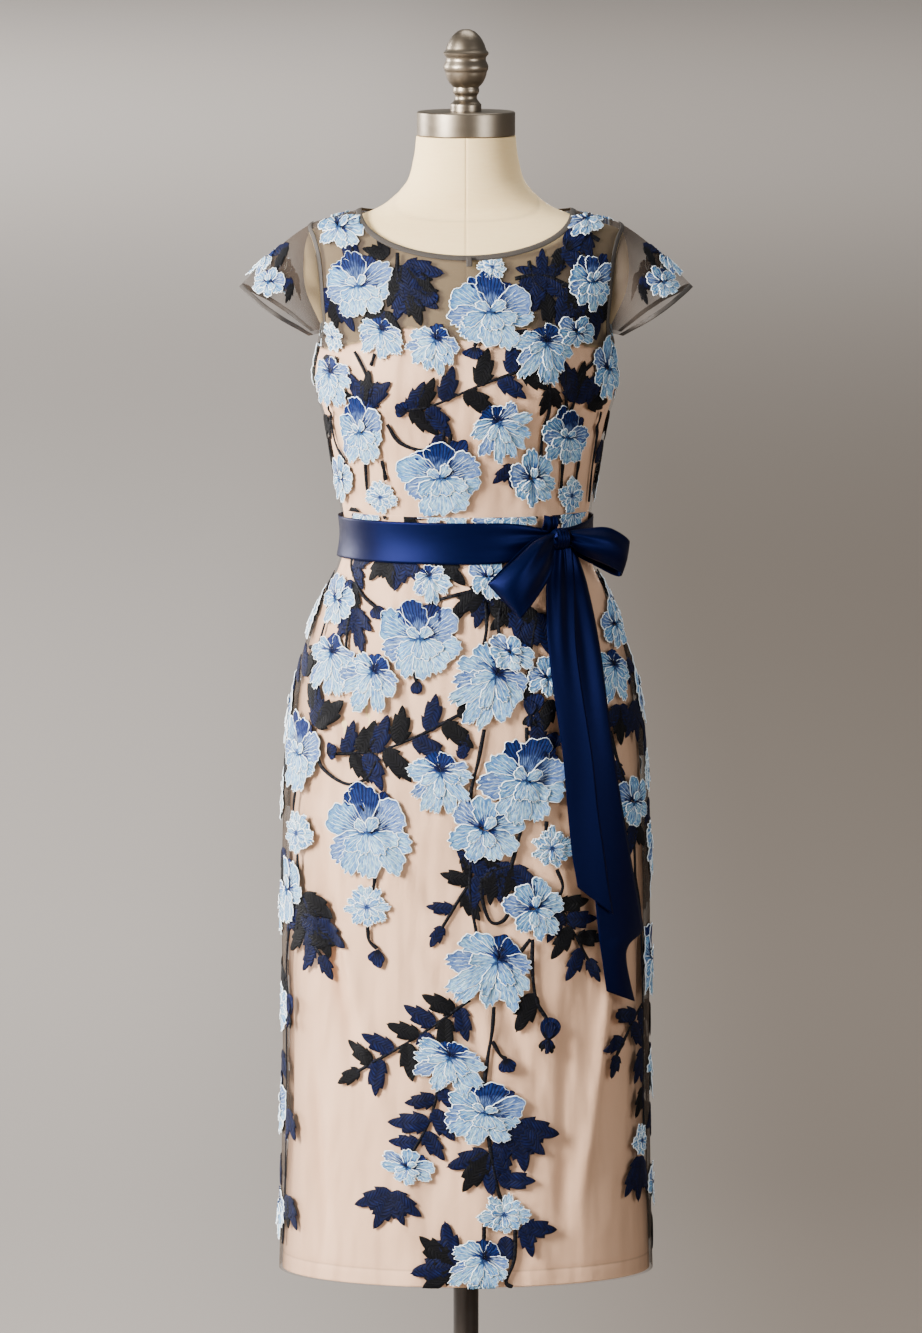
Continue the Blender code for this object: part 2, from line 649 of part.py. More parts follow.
def form(collection, linen):
    """Smooth torso with a neck: the body surface drawn in to clear the cloth, closed at both ends."""
    middle_rows = np.concatenate([
        row_at(np.array([FORM_BOTTOM + 0.004, 0.83, 0.885, 0.925, 0.96, 0.99, 1.02, 1.05, 1.08, 1.11,
                         1.14, 1.17, 1.195, 1.215, 1.235, 1.255, UNDERARM, 1.29, 1.305, 1.32, 1.338, 1.355])),
        np.arange(row_at(1.375), LAST_ROW - 1.9, 0.5),
        [LAST_ROW - 1.0, LAST_ROW],
    ])
    rows = np.concatenate([[row_at(FORM_BOTTOM)], middle_rows])
    turns = np.arange(0, 360, 90 / COLUMNS)
    levels = along(HEIGHT, rows)[:, None]
    lined = 1 - smooth_step(levels, 1.285, 1.33)
    bare = smooth_step(levels, 1.402, 1.428)
    loose = 0.006 * (1 - smooth_step(levels, 0.80, 0.90))
    shoulder = 0.0015 * smooth_step(levels, 1.335, 1.365) * (1 - bare)
    under_overlay = (WALL + FORM_GAP) * (1 - bare) + shoulder
    under_lining = (WALL + LAYER_GAP) * lined + ease(turns[None, :], levels) + loose
    clear = under_overlay + under_lining
    clear[0] += 0.006
    points = moved(turns[None, :], rows[:, None], -clear)
    points[0, :, 2] = FORM_BOTTOM
    points[-1, :, 2] = FORM_TOP
    mesh = grid_mesh("form_torso", points, ring=True)
    shape = bmesh.new()
    shape.from_mesh(mesh)
    ends = [edge for edge in shape.edges if edge.is_boundary]
    bmesh.ops.holes_fill(shape, edges=ends)
    bmesh.ops.recalc_face_normals(shape, faces=shape.faces)
    shape.to_mesh(mesh)
    shape.free()
    mesh.shade_smooth()
    mesh.set_sharp_from_angle(angle=np.radians(50))
    add("form_torso", mesh, linen, collection)


def turned(name, profile, material, collection, steps=32):
    """A turned solid: a profile of (radius, height), from top to bottom down its outer side."""
    mesh = bpy.data.meshes.new(name)
    points = [(radius, 0.0, height) for radius, height in profile]
    mesh.from_pydata(points, [(i, i + 1) for i in range(len(points) - 1)], [])
    piece = add(name, mesh, material, collection)
    screw = piece.modifiers.new("turn", "SCREW")
    screw.axis = "Z"
    screw.steps = screw.render_steps = steps
    screw.use_merge_vertices = True
    screw.merge_threshold = 0.00005
    screw.use_smooth_shade = True
    return piece


CAP_LOW, CAP_HIGH, CAP_RADIUS = FORM_TOP + 0.0003, 1.5045, 0.0490


def stand(collection, nickel, bronze):
    cap = [(0, CAP_HIGH), *arc((CAP_RADIUS - 0.0015, CAP_HIGH - 0.0015), 0.0015, 90, 0, 4)]
    cap += [(CAP_RADIUS, CAP_LOW + 0.0008), (CAP_RADIUS - 0.0008, CAP_LOW), (0, CAP_LOW)]
    turned("neck_cap", cap, nickel, collection, 40)

    foot = CAP_HIGH + 0.0003
    finial = [
        (0, 1.5827),
        *arc((0, 1.5640), 0.0187, 78, 30, 4),
        (0.0205, 1.5665),
        (0.0222, 1.5600),
        (0.0222, 1.5570),
        (0.0208, 1.5545),
        (0.0222, 1.5515),
        (0.0220, 1.5470),
        (0.0195, 1.5400),
        (0.0155, 1.5320),
        (0.0122, 1.5250),
        (0.0112, 1.5180),
        (0.0118, 1.5140),
        (0.0150, 1.5115),
        (0.0155, foot + 0.0020),
        (0.0150, foot),
        (0, foot),
    ]
    turned("finial", finial, nickel, collection, 20)

    collar_low = 0.735
    collar = [(0, FORM_BOTTOM - 0.0003), (0.030, FORM_BOTTOM - 0.0003), (0.032, FORM_BOTTOM - 0.003)]
    collar += [(0.032, 0.757), (0.020, 0.750), (0.018, collar_low), (0, collar_low)]
    turned("pole_collar", collar, bronze, collection, 28)

    hub_top = 0.062
    pole = [(0, collar_low - 0.0003), (POLE_RADIUS, collar_low - 0.0003), (POLE_RADIUS, hub_top + 0.0003)]
    pole += [(0, hub_top + 0.0003)]
    turned("stand_pole", pole, bronze, collection, 28)

    base = [
        (0, hub_top),
        (0.018, hub_top),
        (0.020, hub_top - 0.002),
        (0.021, 0.036),
        (0.030, 0.027),
        (0.060, 0.0225),
        (0.150, 0.0165),
        *arc((BASE_RADIUS - 0.006, 0.0090), 0.006, 70, 0, 4),
        (BASE_RADIUS, 0.0020),
        (BASE_RADIUS - 0.002, 0),
        (0, 0),
    ]
    turned("stand_base", base, bronze, collection, 36)


def build():
    clear_scene()
    collection = bpy.data.collections.new("sheath_dress_on_form")
    bpy.context.scene.collection.children.link(collection)
    lining = finish("nude_lining", (0.76, 0.60, 0.50), 0.75)
    mesh_cloth = finish("sheer_mesh", (0.30, 0.26, 0.24), 0.70)
    binding = finish("grey_binding", (0.22, 0.20, 0.20), 0.65)
    satin = finish("navy_satin", (0.006, 0.020, 0.095), 0.32)
    linen = finish("cream_linen", (0.86, 0.78, 0.66), 0.85)
    nickel = finish("brushed_nickel", (0.45, 0.43, 0.40), 0.34, 1.0)
    bronze = finish("dark_bronze", (0.035, 0.030, 0.028), 0.38, 0.8)
    metal = finish("zip_metal", (0.10, 0.09, 0.09), 0.40, 1.0)
    stand(collection, nickel, bronze)
    form(collection, linen)
    skirt_layers(collection, lining, mesh_cloth)
    lining_bodice(collection, lining)
    bodice_layer(collection, mesh_cloth)
    sleeves(collection, mesh_cloth, binding)
    bindings(collection, binding)
    neck_loop(collection, binding)
    belt(collection, satin)
    knot(collection, satin)
    for name in LOOPS:
        bow_loop(name, collection, satin)
    tail("bow_tail_short", SHORT_TAIL, TAIL_END_SLANT["short"], collection, satin)
    tail("bow_tail_long", LONG_TAIL, TAIL_END_SLANT["long"], collection, satin)
    zip_parts(collection, binding, metal)


build()
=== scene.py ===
"""Fitted sheath dress with a sheer embroidered overlay, cap sleeves and a ribbon bow, on a dress form.

Metres, +Z up; the front faces -Y and the wearer's left is +X. Every layer of cloth follows one body
surface. A place on it is (turn, row): turn is the angle in degrees from the centre front towards the
wearer's left, and row is a height counted in rows of SECTIONS.
"""

import bpy
import numpy as np
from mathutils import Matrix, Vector


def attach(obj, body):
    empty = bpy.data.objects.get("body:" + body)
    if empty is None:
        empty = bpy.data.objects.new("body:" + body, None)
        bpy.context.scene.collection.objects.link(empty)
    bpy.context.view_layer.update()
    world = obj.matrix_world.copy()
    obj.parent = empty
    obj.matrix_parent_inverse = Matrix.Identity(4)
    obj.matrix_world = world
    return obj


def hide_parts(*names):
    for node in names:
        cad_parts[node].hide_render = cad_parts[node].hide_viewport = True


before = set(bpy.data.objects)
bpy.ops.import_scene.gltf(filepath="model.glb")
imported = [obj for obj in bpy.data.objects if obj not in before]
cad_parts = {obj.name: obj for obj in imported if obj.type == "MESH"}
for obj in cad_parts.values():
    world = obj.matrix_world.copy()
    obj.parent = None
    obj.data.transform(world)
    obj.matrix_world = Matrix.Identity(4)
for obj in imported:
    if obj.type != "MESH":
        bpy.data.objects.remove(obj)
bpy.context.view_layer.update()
DRESS = "dress_form"

# Sizes, in metres
HEM = 0.335
WAIST_SEAM = 1.104
BAND_BOTTOM = 1.060
LINING_WAIST = 1.080
UNDERARM = 1.2735
SHOULDER_TIP = 1.388
NECK_POINT = 1.404
NECK_HALF_WIDTH = 0.1035
FRONT_NECK = 1.363
BACK_NECK = 1.3965
FORM_TOP = 1.4765
FORM_BOTTOM = 0.765
WALL = 0.001
LAYER_GAP = 0.0016
SIDE_EASE = 0.0045
FORM_GAP = 0.0029
SEAM = 0.00033
BELT_HEIGHT = 0.042
BELT_MIDDLE = 1.0775
KNOT_TURN = 44.5
KNOT_HEIGHT = 1.0805
ZIP_END = 0.93
ZIP_TOP = 1.3935
ZIP_HALF = 0.0015
EDGE_GAP = 0.0003
CLOTH_WALL = 0.0006
BINDING_WALL = 0.0005
NECK_BINDING = 0.0058
ARM_BINDING = 0.0052

# The outer face of the cloth: height, half width at the side, depth in front, depth behind
SECTIONS = np.array([
    (0.335, 0.1885, 0.1300, 0.1280),
    (0.420, 0.1865, 0.1290, 0.1280),
    (0.550, 0.1845, 0.1270, 0.1280),
    (0.700, 0.1850, 0.1260, 0.1300),
    (0.800, 0.1835, 0.1250, 0.1340),
    (0.870, 0.1795, 0.1240, 0.1390),
    (0.930, 0.1710, 0.1200, 0.1360),
    (0.980, 0.1575, 0.1130, 0.1260),
    (1.020, 0.1420, 0.1050, 0.1100),
    (1.050, 0.1280, 0.0970, 0.0940),
    (1.080, 0.1238, 0.0915, 0.0870),
    (1.110, 0.1265, 0.0940, 0.0880),
    (1.150, 0.1335, 0.1030, 0.0940),
    (1.190, 0.1410, 0.1130, 0.1010),
    (1.235, 0.1530, 0.1230, 0.1080),
    (1.275, 0.1470, 0.1180, 0.1110),
    (1.290, 0.1530, 0.1140, 0.1115),
    (1.320, 0.1635, 0.1060, 0.1100),
    (1.355, 0.1670, 0.0920, 0.1030),
    (1.375, 0.1640, 0.0790, 0.0900),
    (1.388, 0.1560, 0.0680, 0.0750),
    (1.397, 0.1290, 0.0600, 0.0640),
    (1.404, 0.1040, 0.0560, 0.0580),
    (1.414, 0.0790, 0.0540, 0.0530),
    (1.430, 0.0595, 0.0515, 0.0515),
    (1.455, 0.0520, 0.0500, 0.0500),
    (1.4765, 0.0495, 0.0495, 0.0495),
])
HEIGHT, HALF_WIDTH, FRONT, BACK = SECTIONS.T
LAST_ROW = len(SECTIONS) - 1
CUP_OUT, CUP_APART, CUP_WIDE, CUP_HEIGHT, CUP_TALL = 0.008, 0.062, 0.045, 1.232, 0.045
COLUMNS, NECK_COLUMNS = 8, 5
ARMHOLE_BOW = {"front": 29.0, "back": 24.0}


# The body surface

def along(column, row):
    """Catmull-Rom curve through one column of a table, at a row number that may be a fraction."""
    last = len(column) - 1
    i = np.clip(np.floor(row).astype(int), 0, last - 1)
    t = row - i
    before, start = column[np.maximum(i - 1, 0)], column[i]
    end, after = column[i + 1], column[np.minimum(i + 2, last)]
    return 0.5 * (
        2 * start
        + (end - before) * t
        + (2 * before - 5 * start + 4 * end - after) * t**2
        + (3 * start - before - 3 * end + after) * t**3
    )


FINE_ROWS = np.linspace(0, LAST_ROW, 2001)
FINE_HEIGHTS = along(HEIGHT, FINE_ROWS)


def row_at(height):
    return np.interp(height, FINE_HEIGHTS, FINE_ROWS)


def skin(turn, row):
    """Half an ellipse in front and half behind, across the row's width and depths, with two soft cups."""
    turn, row = np.broadcast_arrays(np.asarray(turn, float), np.asarray(row, float))
    angle = np.radians(turn)
    across, ahead = np.sin(angle), np.cos(angle)
    depth = np.where(ahead >= 0, along(FRONT, row), along(BACK, row))
    x, z = along(HALF_WIDTH, row) * across, along(HEIGHT, row)
    side = sum(np.exp(-(((x - middle) / CUP_WIDE) ** 2)) for middle in (-CUP_APART, CUP_APART))
    cup = CUP_OUT * side * np.exp(-(((z - CUP_HEIGHT) / CUP_TALL) ** 2)) * np.clip(ahead, 0, 1)
    return np.stack([x, -depth * ahead - cup, z], axis=-1)


def unit(vectors):
    return vectors / np.maximum(np.linalg.norm(vectors, axis=-1, keepdims=True), 1e-9)


def normal(turn, row):
    """Unit normal that points out: the cross product of the surface's differences around and up."""
    row = np.clip(row, 0.02, LAST_ROW - 0.02)
    around = skin(turn + 0.5, row) - skin(turn - 0.5, row)
    return unit(np.cross(around, skin(turn, row + 0.02) - skin(turn, row - 0.02)))


def moved(turn, row, out):
    """Surface points moved out along the normal (in, where out is negative)."""
    return skin(turn, row) + normal(turn, row) * np.asarray(out)[..., None]


def smooth_step(value, low, high):
    t = np.clip((value - low) / (high - low), 0, 1)
    return t * t * (3 - 2 * t)


def ease(turn, height):
    """How much deeper the lining lies under the overlay at the sides of the skirt."""
    below_waist = 1 - smooth_step(height, 0.86, 1.04)
    above_hem = 0.15 + 0.85 * smooth_step(height, HEM, 0.50)
    return SIDE_EASE * np.sin(np.radians(turn)) ** 2 * below_waist * above_hem


# Soft folds: turn in degrees and height in millimetres of each end, then half width and depth
# in tenths of a millimetre; a trough's depth is negative
FOLDS = np.array([
    (-30, 1035, -17, 900, 43, -15), (-12, 1050, -9, 975, 31, -18), (-5, 1050, -3, 960, 37, 14),
    (8, 1048, 15, 940, 37, -15), (-48, 1010, -28, 860, 68, -22), (-52, 930, -16, 740, 81, -30),
    (-38, 850, -2, 640, 93, 25), (-62, 820, -36, 560, 99, -32), (-20, 740, 6, 560, 74, -25),
    (-44, 700, -22, 480, 87, 22), (0, 700, 26, 520, 87, -25), (36, 930, 20, 800, 74, -20),
    (58, 900, 38, 640, 99, -30), (70, 760, 48, 500, 93, -32), (52, 660, 40, 420, 87, 28),
    (34, 620, 30, 370, 81, -20), (-12, 560, -20, 380, 99, 18), (-58, 560, -50, 370, 87, -25),
    (14, 480, 8, 345, 74, -15), (84, 860, 80, 420, 112, -32), (-86, 840, -80, 400, 112, -30),
    (118, 1000, 150, 860, 74, -20), (108, 900, 140, 620, 99, -30), (126, 760, 152, 480, 93, 25),
    (160, 900, 168, 680, 74, -20), (100, 640, 118, 400, 99, -28), (150, 560, 164, 370, 87, -22),
    (232, 1000, 214, 850, 74, -22), (250, 880, 222, 640, 99, -30), (236, 720, 206, 500, 87, 25),
    (196, 860, 190, 600, 81, -20), (262, 620, 240, 400, 93, -30), (212, 520, 200, 370, 81, -18),
    (-72, 1245, -46, 1205, 37, -18), (-78, 1215, -52, 1175, 37, -15), (74, 1250, 50, 1200, 37, -18),
    (80, 1215, 56, 1160, 37, -15), (-40, 1180, -34, 1115, 31, -13), (28, 1165, 33, 1112, 31, -13),
    (4, 1150, -6, 1110, 37, 11), (110, 1240, 140, 1190, 50, -18), (250, 1235, 222, 1180, 50, -18),
    (124, 1180, 146, 1120, 43, -15), (238, 1175, 212, 1115, 43, -15), (150, 1340, 168, 1290, 50, -15),
    (210, 1345, 194, 1285, 50, -15),
]) / (1, 1000, 1, 1000, 10000, 10000)
METRES_PER_DEGREE = 0.0026
FOLD_IN_LINING, FOLD_IN_NET = 2.1, 1.6


def fold(turn, height):
    """Sum of the soft folds.

    Each is its depth times a bell curve of the distance from its line, faded out at the line's ends.
    """
    turn = (np.asarray(turn, float) + 90) % 360 - 90
    total = 0.0
    for first_turn, first_height, last_turn, last_height, width, depth in FOLDS:
        start = np.array([first_turn * METRES_PER_DEGREE, first_height])
        way = np.array([last_turn * METRES_PER_DEGREE, last_height]) - start
        length = np.hypot(*way)
        across, up = turn * METRES_PER_DEGREE - start[0], height - start[1]
        share = (across * way[0] + up * way[1]) / length**2
        off = (across * way[1] - up * way[0]) / length
        bow = 0.35 * width * np.sin(3 * share + 40 * start[1])
        fade = smooth_step(share, -0.12, 0.3) * (1 - smooth_step(share, 0.7, 1.12))
        total = total + depth * np.exp(-(((off + bow) / width) ** 2)) * fade
    return total


def lining_out(turn, height):
    return -(WALL + LAYER_GAP) - ease(turn, height) + FOLD_IN_LINING * fold(turn, height)


def overlay_out(turn, height):
    """The net follows the lining's folds, less deeply."""
    return FOLD_IN_NET * fold(turn, height)


# Making meshes

def make(name, points, quads, material, tris=None, tint=None, stitch=None, marks=None):
    """A mesh object at the origin from arrays: points, quads, triangles, and values kept on its points."""
    mesh = bpy.data.meshes.new(name)
    tris = np.zeros((0, 3), int) if tris is None else tris
    corners = np.concatenate([quads.ravel(), tris.ravel()])
    starts = np.concatenate([4 * np.arange(len(quads)), 4 * len(quads) + 3 * np.arange(len(tris))])
    mesh.vertices.add(len(points))
    mesh.vertices.foreach_set("co", np.ascontiguousarray(points, np.float32).ravel())
    mesh.loops.add(len(corners))
    mesh.loops.foreach_set("vertex_index", corners.astype(np.int32))
    mesh.polygons.add(len(starts))
    mesh.polygons.foreach_set("loop_start", starts.astype(np.int32))
    mesh.update(calc_edges=True)
    mesh.shade_smooth()
    if tint is not None:
        colours = np.hstack([tint, np.ones((len(tint), 1))])
        mesh.attributes.new("tint", "FLOAT_COLOR", "POINT").data.foreach_set("color", colours.ravel())
    if stitch is not None:
        mesh.uv_layers.new(name="stitch").data.foreach_set("uv", stitch[corners].ravel())
    for mark, values in (marks or {}).items():
        mesh.attributes.new(mark, "FLOAT", "POINT").data.foreach_set("value", np.ravel(values))
    mesh.materials.append(material)
    piece = bpy.data.objects.new(name, mesh)
    bpy.context.scene.collection.objects.link(piece)
    return piece


def grid_quads(rows, columns, ring=False):
    """Corner numbers of a grid's quads, anticlockwise where columns run right and rows run up."""
    index = np.arange(rows * columns).reshape(rows, columns)
    right = np.roll(index, -1, axis=1)
    if not ring:
        index, right = index[:, :-1], right[:, :-1]
    return np.stack([index[:-1], right[:-1], right[1:], index[1:]], axis=-1).reshape(-1, 4)


def arc_lengths(points):
    """Distance along each row of a grid of points, from its first column."""
    steps = np.linalg.norm(np.diff(points, axis=1), axis=-1)
    return np.concatenate([np.zeros((len(points), 1)), np.cumsum(steps, axis=1)], axis=1)


def area_of(points, ring=False):
    """Area of a grid: half the cross product of each quad's two diagonals, summed."""
    if ring:
        points = np.concatenate([points, points[:, :1]], axis=1)
    one, other = points[1:, 1:] - points[:-1, :-1], points[1:, :-1] - points[:-1, 1:]
    return 0.5 * np.linalg.norm(np.cross(one, other), axis=-1).sum()


ON_SHEET = {}


def placed(piece, nodes):
    """Attaches a piece to the body it rides and hides the nodes it stands for."""
    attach(piece, DRESS)
    if nodes:
        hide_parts(*nodes)
    return piece


def cloth(name, points, material, nodes, wall=0.0, ring=False, marks=None, on=None):
    """A piece of cloth on a grid of points, with its own cut; a wall makes it a thin shell.

    Where it is sewn on a sheet, it goes on that sheet's list.
    """
    rows, columns = points.shape[:2]
    stitch = np.stack([arc_lengths(points), arc_lengths(points.swapaxes(0, 1)).T], axis=-1).reshape(-1, 2)
    piece = make(name, points.reshape(-1, 3), grid_quads(rows, columns, ring), material,
                 stitch=stitch * 1000, marks=marks)
    if wall:
        shell = piece.modifiers.new("wall", "SOLIDIFY")
        shell.thickness = wall
        shell.offset = -1
    around = np.concatenate([points, points[:, :1]], axis=1) if ring else points
    width, length = arc_lengths(around)[:, -1].max(), arc_lengths(points.swapaxes(0, 1))[:, -1].max()
    area = min(area_of(points, ring), width * length)
    placed(piece, nodes)
    if on:
        ON_SHEET.setdefault(on, []).append(piece)


def solid(name, points, quads, material, nodes, **values):
    """A hard or filled piece, or one sewn on a sheet."""
    return placed(make(name, points, quads, material, **values), nodes)


def closed_solid(name, points, top, foot, material, nodes, **values):
    """A solid on a stack of rings, lowest first, closed by a fan to a point at its top and at its foot."""
    rows, columns = points.shape[:2]
    ring = np.arange(columns)
    after = (ring + 1) % columns
    last, pole = (rows - 1) * columns, np.full(columns, rows * columns)
    fans = [np.stack([ring + last, after + last, pole], -1), np.stack([after, ring, pole + 1], -1)]
    every = np.concatenate([points.reshape(-1, 3), [top, foot]])
    return solid(name, every, grid_quads(rows, columns, ring=True), material, nodes,
                 tris=np.concatenate(fans), **values)


def srgb(red, green, blue):
    """A screen colour, 0 to 255, as the linear light a shader takes."""
    share = np.array([red, green, blue]) / 255
    return np.where(share <= 0.04045, share / 12.92, ((share + 0.055) / 1.055) ** 2.4)


# Finishes

class Value:
    """A socket whose number varies over the surface: arithmetic on it adds Math nodes."""

    def __init__(self, finish, socket):
        self.finish, self.socket = finish, socket

    def math(self, operation, *others):
        sockets = dict(enumerate((self, *others)))
        return self.finish.node("ShaderNodeMath", {"operation": operation}, sockets)

    def __add__(self, other):
        return self.math("ADD", other)

    def __mul__(self, other):
        return self.math("MULTIPLY", other)

    def __sub__(self, other):
        return self.math("SUBTRACT", other)

    def __rsub__(self, other):
        return self.finish.node("ShaderNodeMath", {"operation": "SUBTRACT"}, {0: other, 1: self})

    def __pow__(self, other):
        return self.math("POWER", other)

    __radd__ = __add__
    __rmul__ = __mul__

    def step(self, low, high):
        """0 below low, 1 above high, smooth between."""
        settings = {"interpolation_type": "SMOOTHSTEP"}
        return self.finish.node("ShaderNodeMapRange", settings, {0: self, 1: low, 2: high, 3: 0.0, 4: 1.0})


class Finish:
    """A Principled material whose varying values are built from expressions."""

    def __init__(self, name, **constants):
        self.material = bpy.data.materials.new(name)
        self.material.use_nodes = True
        self.tree = self.material.node_tree
        self.shader = self.tree.nodes["Principled BSDF"]
        for socket, value in constants.items():
            self.set(socket.replace("_", " "), value)

    def node(self, kind, settings=None, sockets=None, out=0):
        made = self.tree.nodes.new(kind)
        for key, value in (settings or {}).items():
            setattr(made, key, value)
        for key, value in (sockets or {}).items():
            if isinstance(value, Value):
                self.tree.links.new(value.socket, made.inputs[key])
            else:
                made.inputs[key].default_value = value
        return Value(self, made.outputs[out])

    def set(self, socket, value):
        target = next(each for each in self.shader.inputs if each.name.lower() == socket.lower())
        if isinstance(value, Value):
            self.tree.links.new(value.socket, target)
        elif target.type == "RGBA":
            target.default_value = (*value, 1.0)
        else:
            target.default_value = value

    def place(self):
        return self.node("ShaderNodeTexCoord", out="Object")

    def stitch(self):
        """The cloth's own coordinates, in millimetres."""
        return self.node("ShaderNodeUVMap", {"uv_map": "stitch"})

    def mark(self, name, out="Fac"):
        return self.node("ShaderNodeAttribute", {"attribute_name": name}, out=out)

    def axis(self, vector, number=0):
        return self.node("ShaderNodeSeparateXYZ", None, {0: vector}, out=number)

    def sine(self, value):
        return self.node("ShaderNodeMath", {"operation": "SINE"}, {0: value})

    def scaled(self, vector, scale):
        return self.node("ShaderNodeVectorMath", {"operation": "MULTIPLY"}, {0: vector, 1: scale})

    def noise(self, vector, scale, detail=2.0, roughness=0.5):
        sockets = {"Vector": vector, "Scale": scale, "Detail": detail, "Roughness": roughness}
        return self.node("ShaderNodeTexNoise", None, sockets)

    def wave(self, vector, scale, direction="X"):
        settings = {"wave_type": "BANDS", "bands_direction": direction, "wave_profile": "SIN"}
        sockets = {"Vector": vector, "Scale": scale, "Distortion": 0.6}
        return self.node("ShaderNodeTexWave", settings, sockets)

    def mix(self, factor, first, second, blend="MIX"):
        first, second = (c if isinstance(c, Value) else (*c, 1.0) for c in (first, second))
        settings = {"data_type": "RGBA", "blend_type": blend}
        return self.node("ShaderNodeMix", settings, {0: factor, 6: first, 7: second}, out=2)

    def bump(self, height, strength, distance):
        sockets = {"Height": height, "Strength": strength, "Distance": distance}
        self.set("Normal", self.node("ShaderNodeBump", None, sockets))

    def weave(self, vector):
        """Plain weave: two sets of fine bands crossing."""
        return self.wave(vector, 2.6, "X") * self.wave(vector, 2.6, "Y")


def lining_finish():
    """Soft satin-backed lining: peach, with faint creases and a fine weave in one bump, in metres."""
    finish = Finish("nude_lining", Roughness=0.62, Sheen_Weight=0.08, Sheen_Roughness=0.4)
    place = finish.place()
    cloudy = finish.noise(place, 9.0, 3.0)
    base = finish.mix(cloudy, srgb(247, 200, 163), srgb(241, 190, 151))
    # The seam mark darkens the dart and hem stitch lines: partly thread, partly painted shade of their folds
    # and grooves.
    finish.set("Base Color", finish.mix(finish.mark("seam"), base, srgb(188, 146, 118)))
    creases = finish.noise(finish.scaled(place, (1.0, 1.0, 0.32)), 21.0, 2.0, 0.45)
    fine = finish.noise(finish.scaled(place, (1.0, 1.0, 0.6)), 70.0, 2.0)
    finish.bump(0.0220 * creases + 0.0006 * fine + 0.00005 * finish.weave(finish.stitch()), 1.0, 1.0)
    return finish.material


def net_finish():
    finish = Finish("sheer_net", Roughness=0.7, Base_Color=srgb(76, 66, 58), Specular_IOR_Level=0.1)
    finish.set("Alpha", finish.mark("cover"))
    finish.bump(finish.noise(finish.stitch(), 0.8, 3.0), 0.2, 0.0003)
    finish.material.surface_render_method = "BLENDED"
    return finish.material


def binding_finish():
    finish = Finish("grey_binding", Roughness=0.65, Alpha=0.86)
    ribs = finish.wave(finish.stitch(), 0.55, "X")
    finish.set("Base Color", finish.mix(ribs, srgb(44, 40, 37), srgb(78, 70, 63)))
    finish.bump(ribs, 0.3, 0.0003)
    return finish.material


def satin_finish():
    """Ribbon satin: fine threads along the ribbon under a broad soft shine."""
    finish = Finish("navy_satin", Specular_IOR_Level=0.27, Specular_Tint=srgb(104, 118, 255))
    slubs = finish.noise(finish.scaled(finish.stitch(), (0.05, 0.9, 1.0)), 1.0, 3.0)
    finish.set("Base Color", finish.mix(slubs, srgb(0, 2, 17), srgb(1, 5, 29)))
    finish.set("Roughness", 0.39 + 0.08 * slubs)
    finish.bump(finish.wave(finish.stitch(), 2.2, "Y") + 0.5 * slubs, 0.10, 0.0002)
    return finish.material


def thread_finish():
    """Satin stitch: the tint kept on the points, broken into fine threads that fan out of each petal's root.

    The mark "inner" is -1 on a petal's edge cord and rises through 0 in the groove beside it, which is
    darkened as painted shade, to 1 inside, where paler couched threads run as thin bent lines. It is 2 on
    plain work, which has dark veins.
    """
    finish = Finish("embroidery_thread", Roughness=0.6, Specular_IOR_Level=0.12)
    vector = finish.stitch()
    wander = finish.noise(finish.scaled(vector, (0.16, 0.16, 1.0)), 1.0, 2.0)
    threads = finish.noise(finish.scaled(vector, (0.95, 0.13, 1.0)), 1.0, 3.0, 0.65)
    fan = finish.axis(vector)
    lines = finish.sine(1.15 * fan + 7.0 * wander)
    inner = finish.mark("inner")
    off_cord = inner.step(-0.45, -0.25)
    groove = off_cord * (1 - inner.step(0.1, 0.35))
    couched = lines.step(0.80, 0.95) * inner.step(0.5, 0.8) * (1 - inner.step(1.2, 1.5))
    tint = finish.mark("tint", "Color")
    shade = finish.mix(wander.step(0.40, 0.62), tint, srgb(188, 204, 236), "MULTIPLY")
    dark = finish.mix(0.80, shade, srgb(96, 120, 160), "MULTIPLY")
    threaded = finish.mix(threads.step(0.34, 0.62), dark, shade)
    # Painted shade: a dark line in the groove just inside each petal's cord.
    groove_shaded = finish.mix(0.9 * groove, threaded, srgb(66, 88, 130), "MULTIPLY")
    lined = finish.mix(couched * 0.75, groove_shaded, srgb(226, 242, 250))
    veins = finish.sine(1.5 * fan + 3.0 * wander)
    veined = veins.step(0.25, 0.85) * inner.step(1.5, 1.8)
    worked = finish.mix(0.8 * veined, lined, srgb(92, 92, 120), "MULTIPLY")
    finish.set("Base Color", finish.mix(off_cord, srgb(238, 249, 255), worked))
    finish.bump(threads + 1.2 * couched - 1.2 * veined, 0.8, 0.0006)
    return finish.material


def linen_finish():
    finish = Finish("cream_linen", Roughness=0.8, Sheen_Weight=0.1)
    place = finish.place()
    slubs = finish.noise(finish.scaled(place, (1.0, 1.0, 6.0)), 90.0, 3.0)
    base = finish.mix(slubs, srgb(255, 226, 170), srgb(249, 214, 154))
    # The seam mark darkens the cover's seam lines, which lie in shallow grooves: seam colour and painted
    # shade of the grooves.
    finish.set("Base Color", finish.mix(finish.mark("seam"), base, srgb(180, 152, 116)))
    vector = finish.scaled(place, (1000.0, 1000.0, 1000.0))
    finish.bump(finish.weave(vector) + 0.6 * finish.noise(vector, 1.7), 0.3, 0.0002)
    return finish.material


def metal_finish(name, colour, roughness, brushed, **constants):
    """Turned metal: fine rings round the axis vary how rough it is."""
    finish = Finish(name, Base_Color=colour, Metallic=1.0, **constants)
    rings = finish.noise(finish.scaled(finish.place(), (6.0, 6.0, 900.0)), 1.0, 3.0, 0.6)
    finish.set("Roughness", roughness + brushed * rings)
    finish.bump(rings, 0.12, 0.0002)
    return finish.material


def bronze_finish():
    finish = Finish("dark_bronze", Metallic=0.65, Coat_Weight=0.25)
    worn = finish.noise(finish.place(), 60.0, 4.0)
    finish.set("Base Color", finish.mix(worn, srgb(38, 32, 28), srgb(58, 50, 44)))
    finish.set("Roughness", 0.30 + 0.16 * worn)
    return finish.material


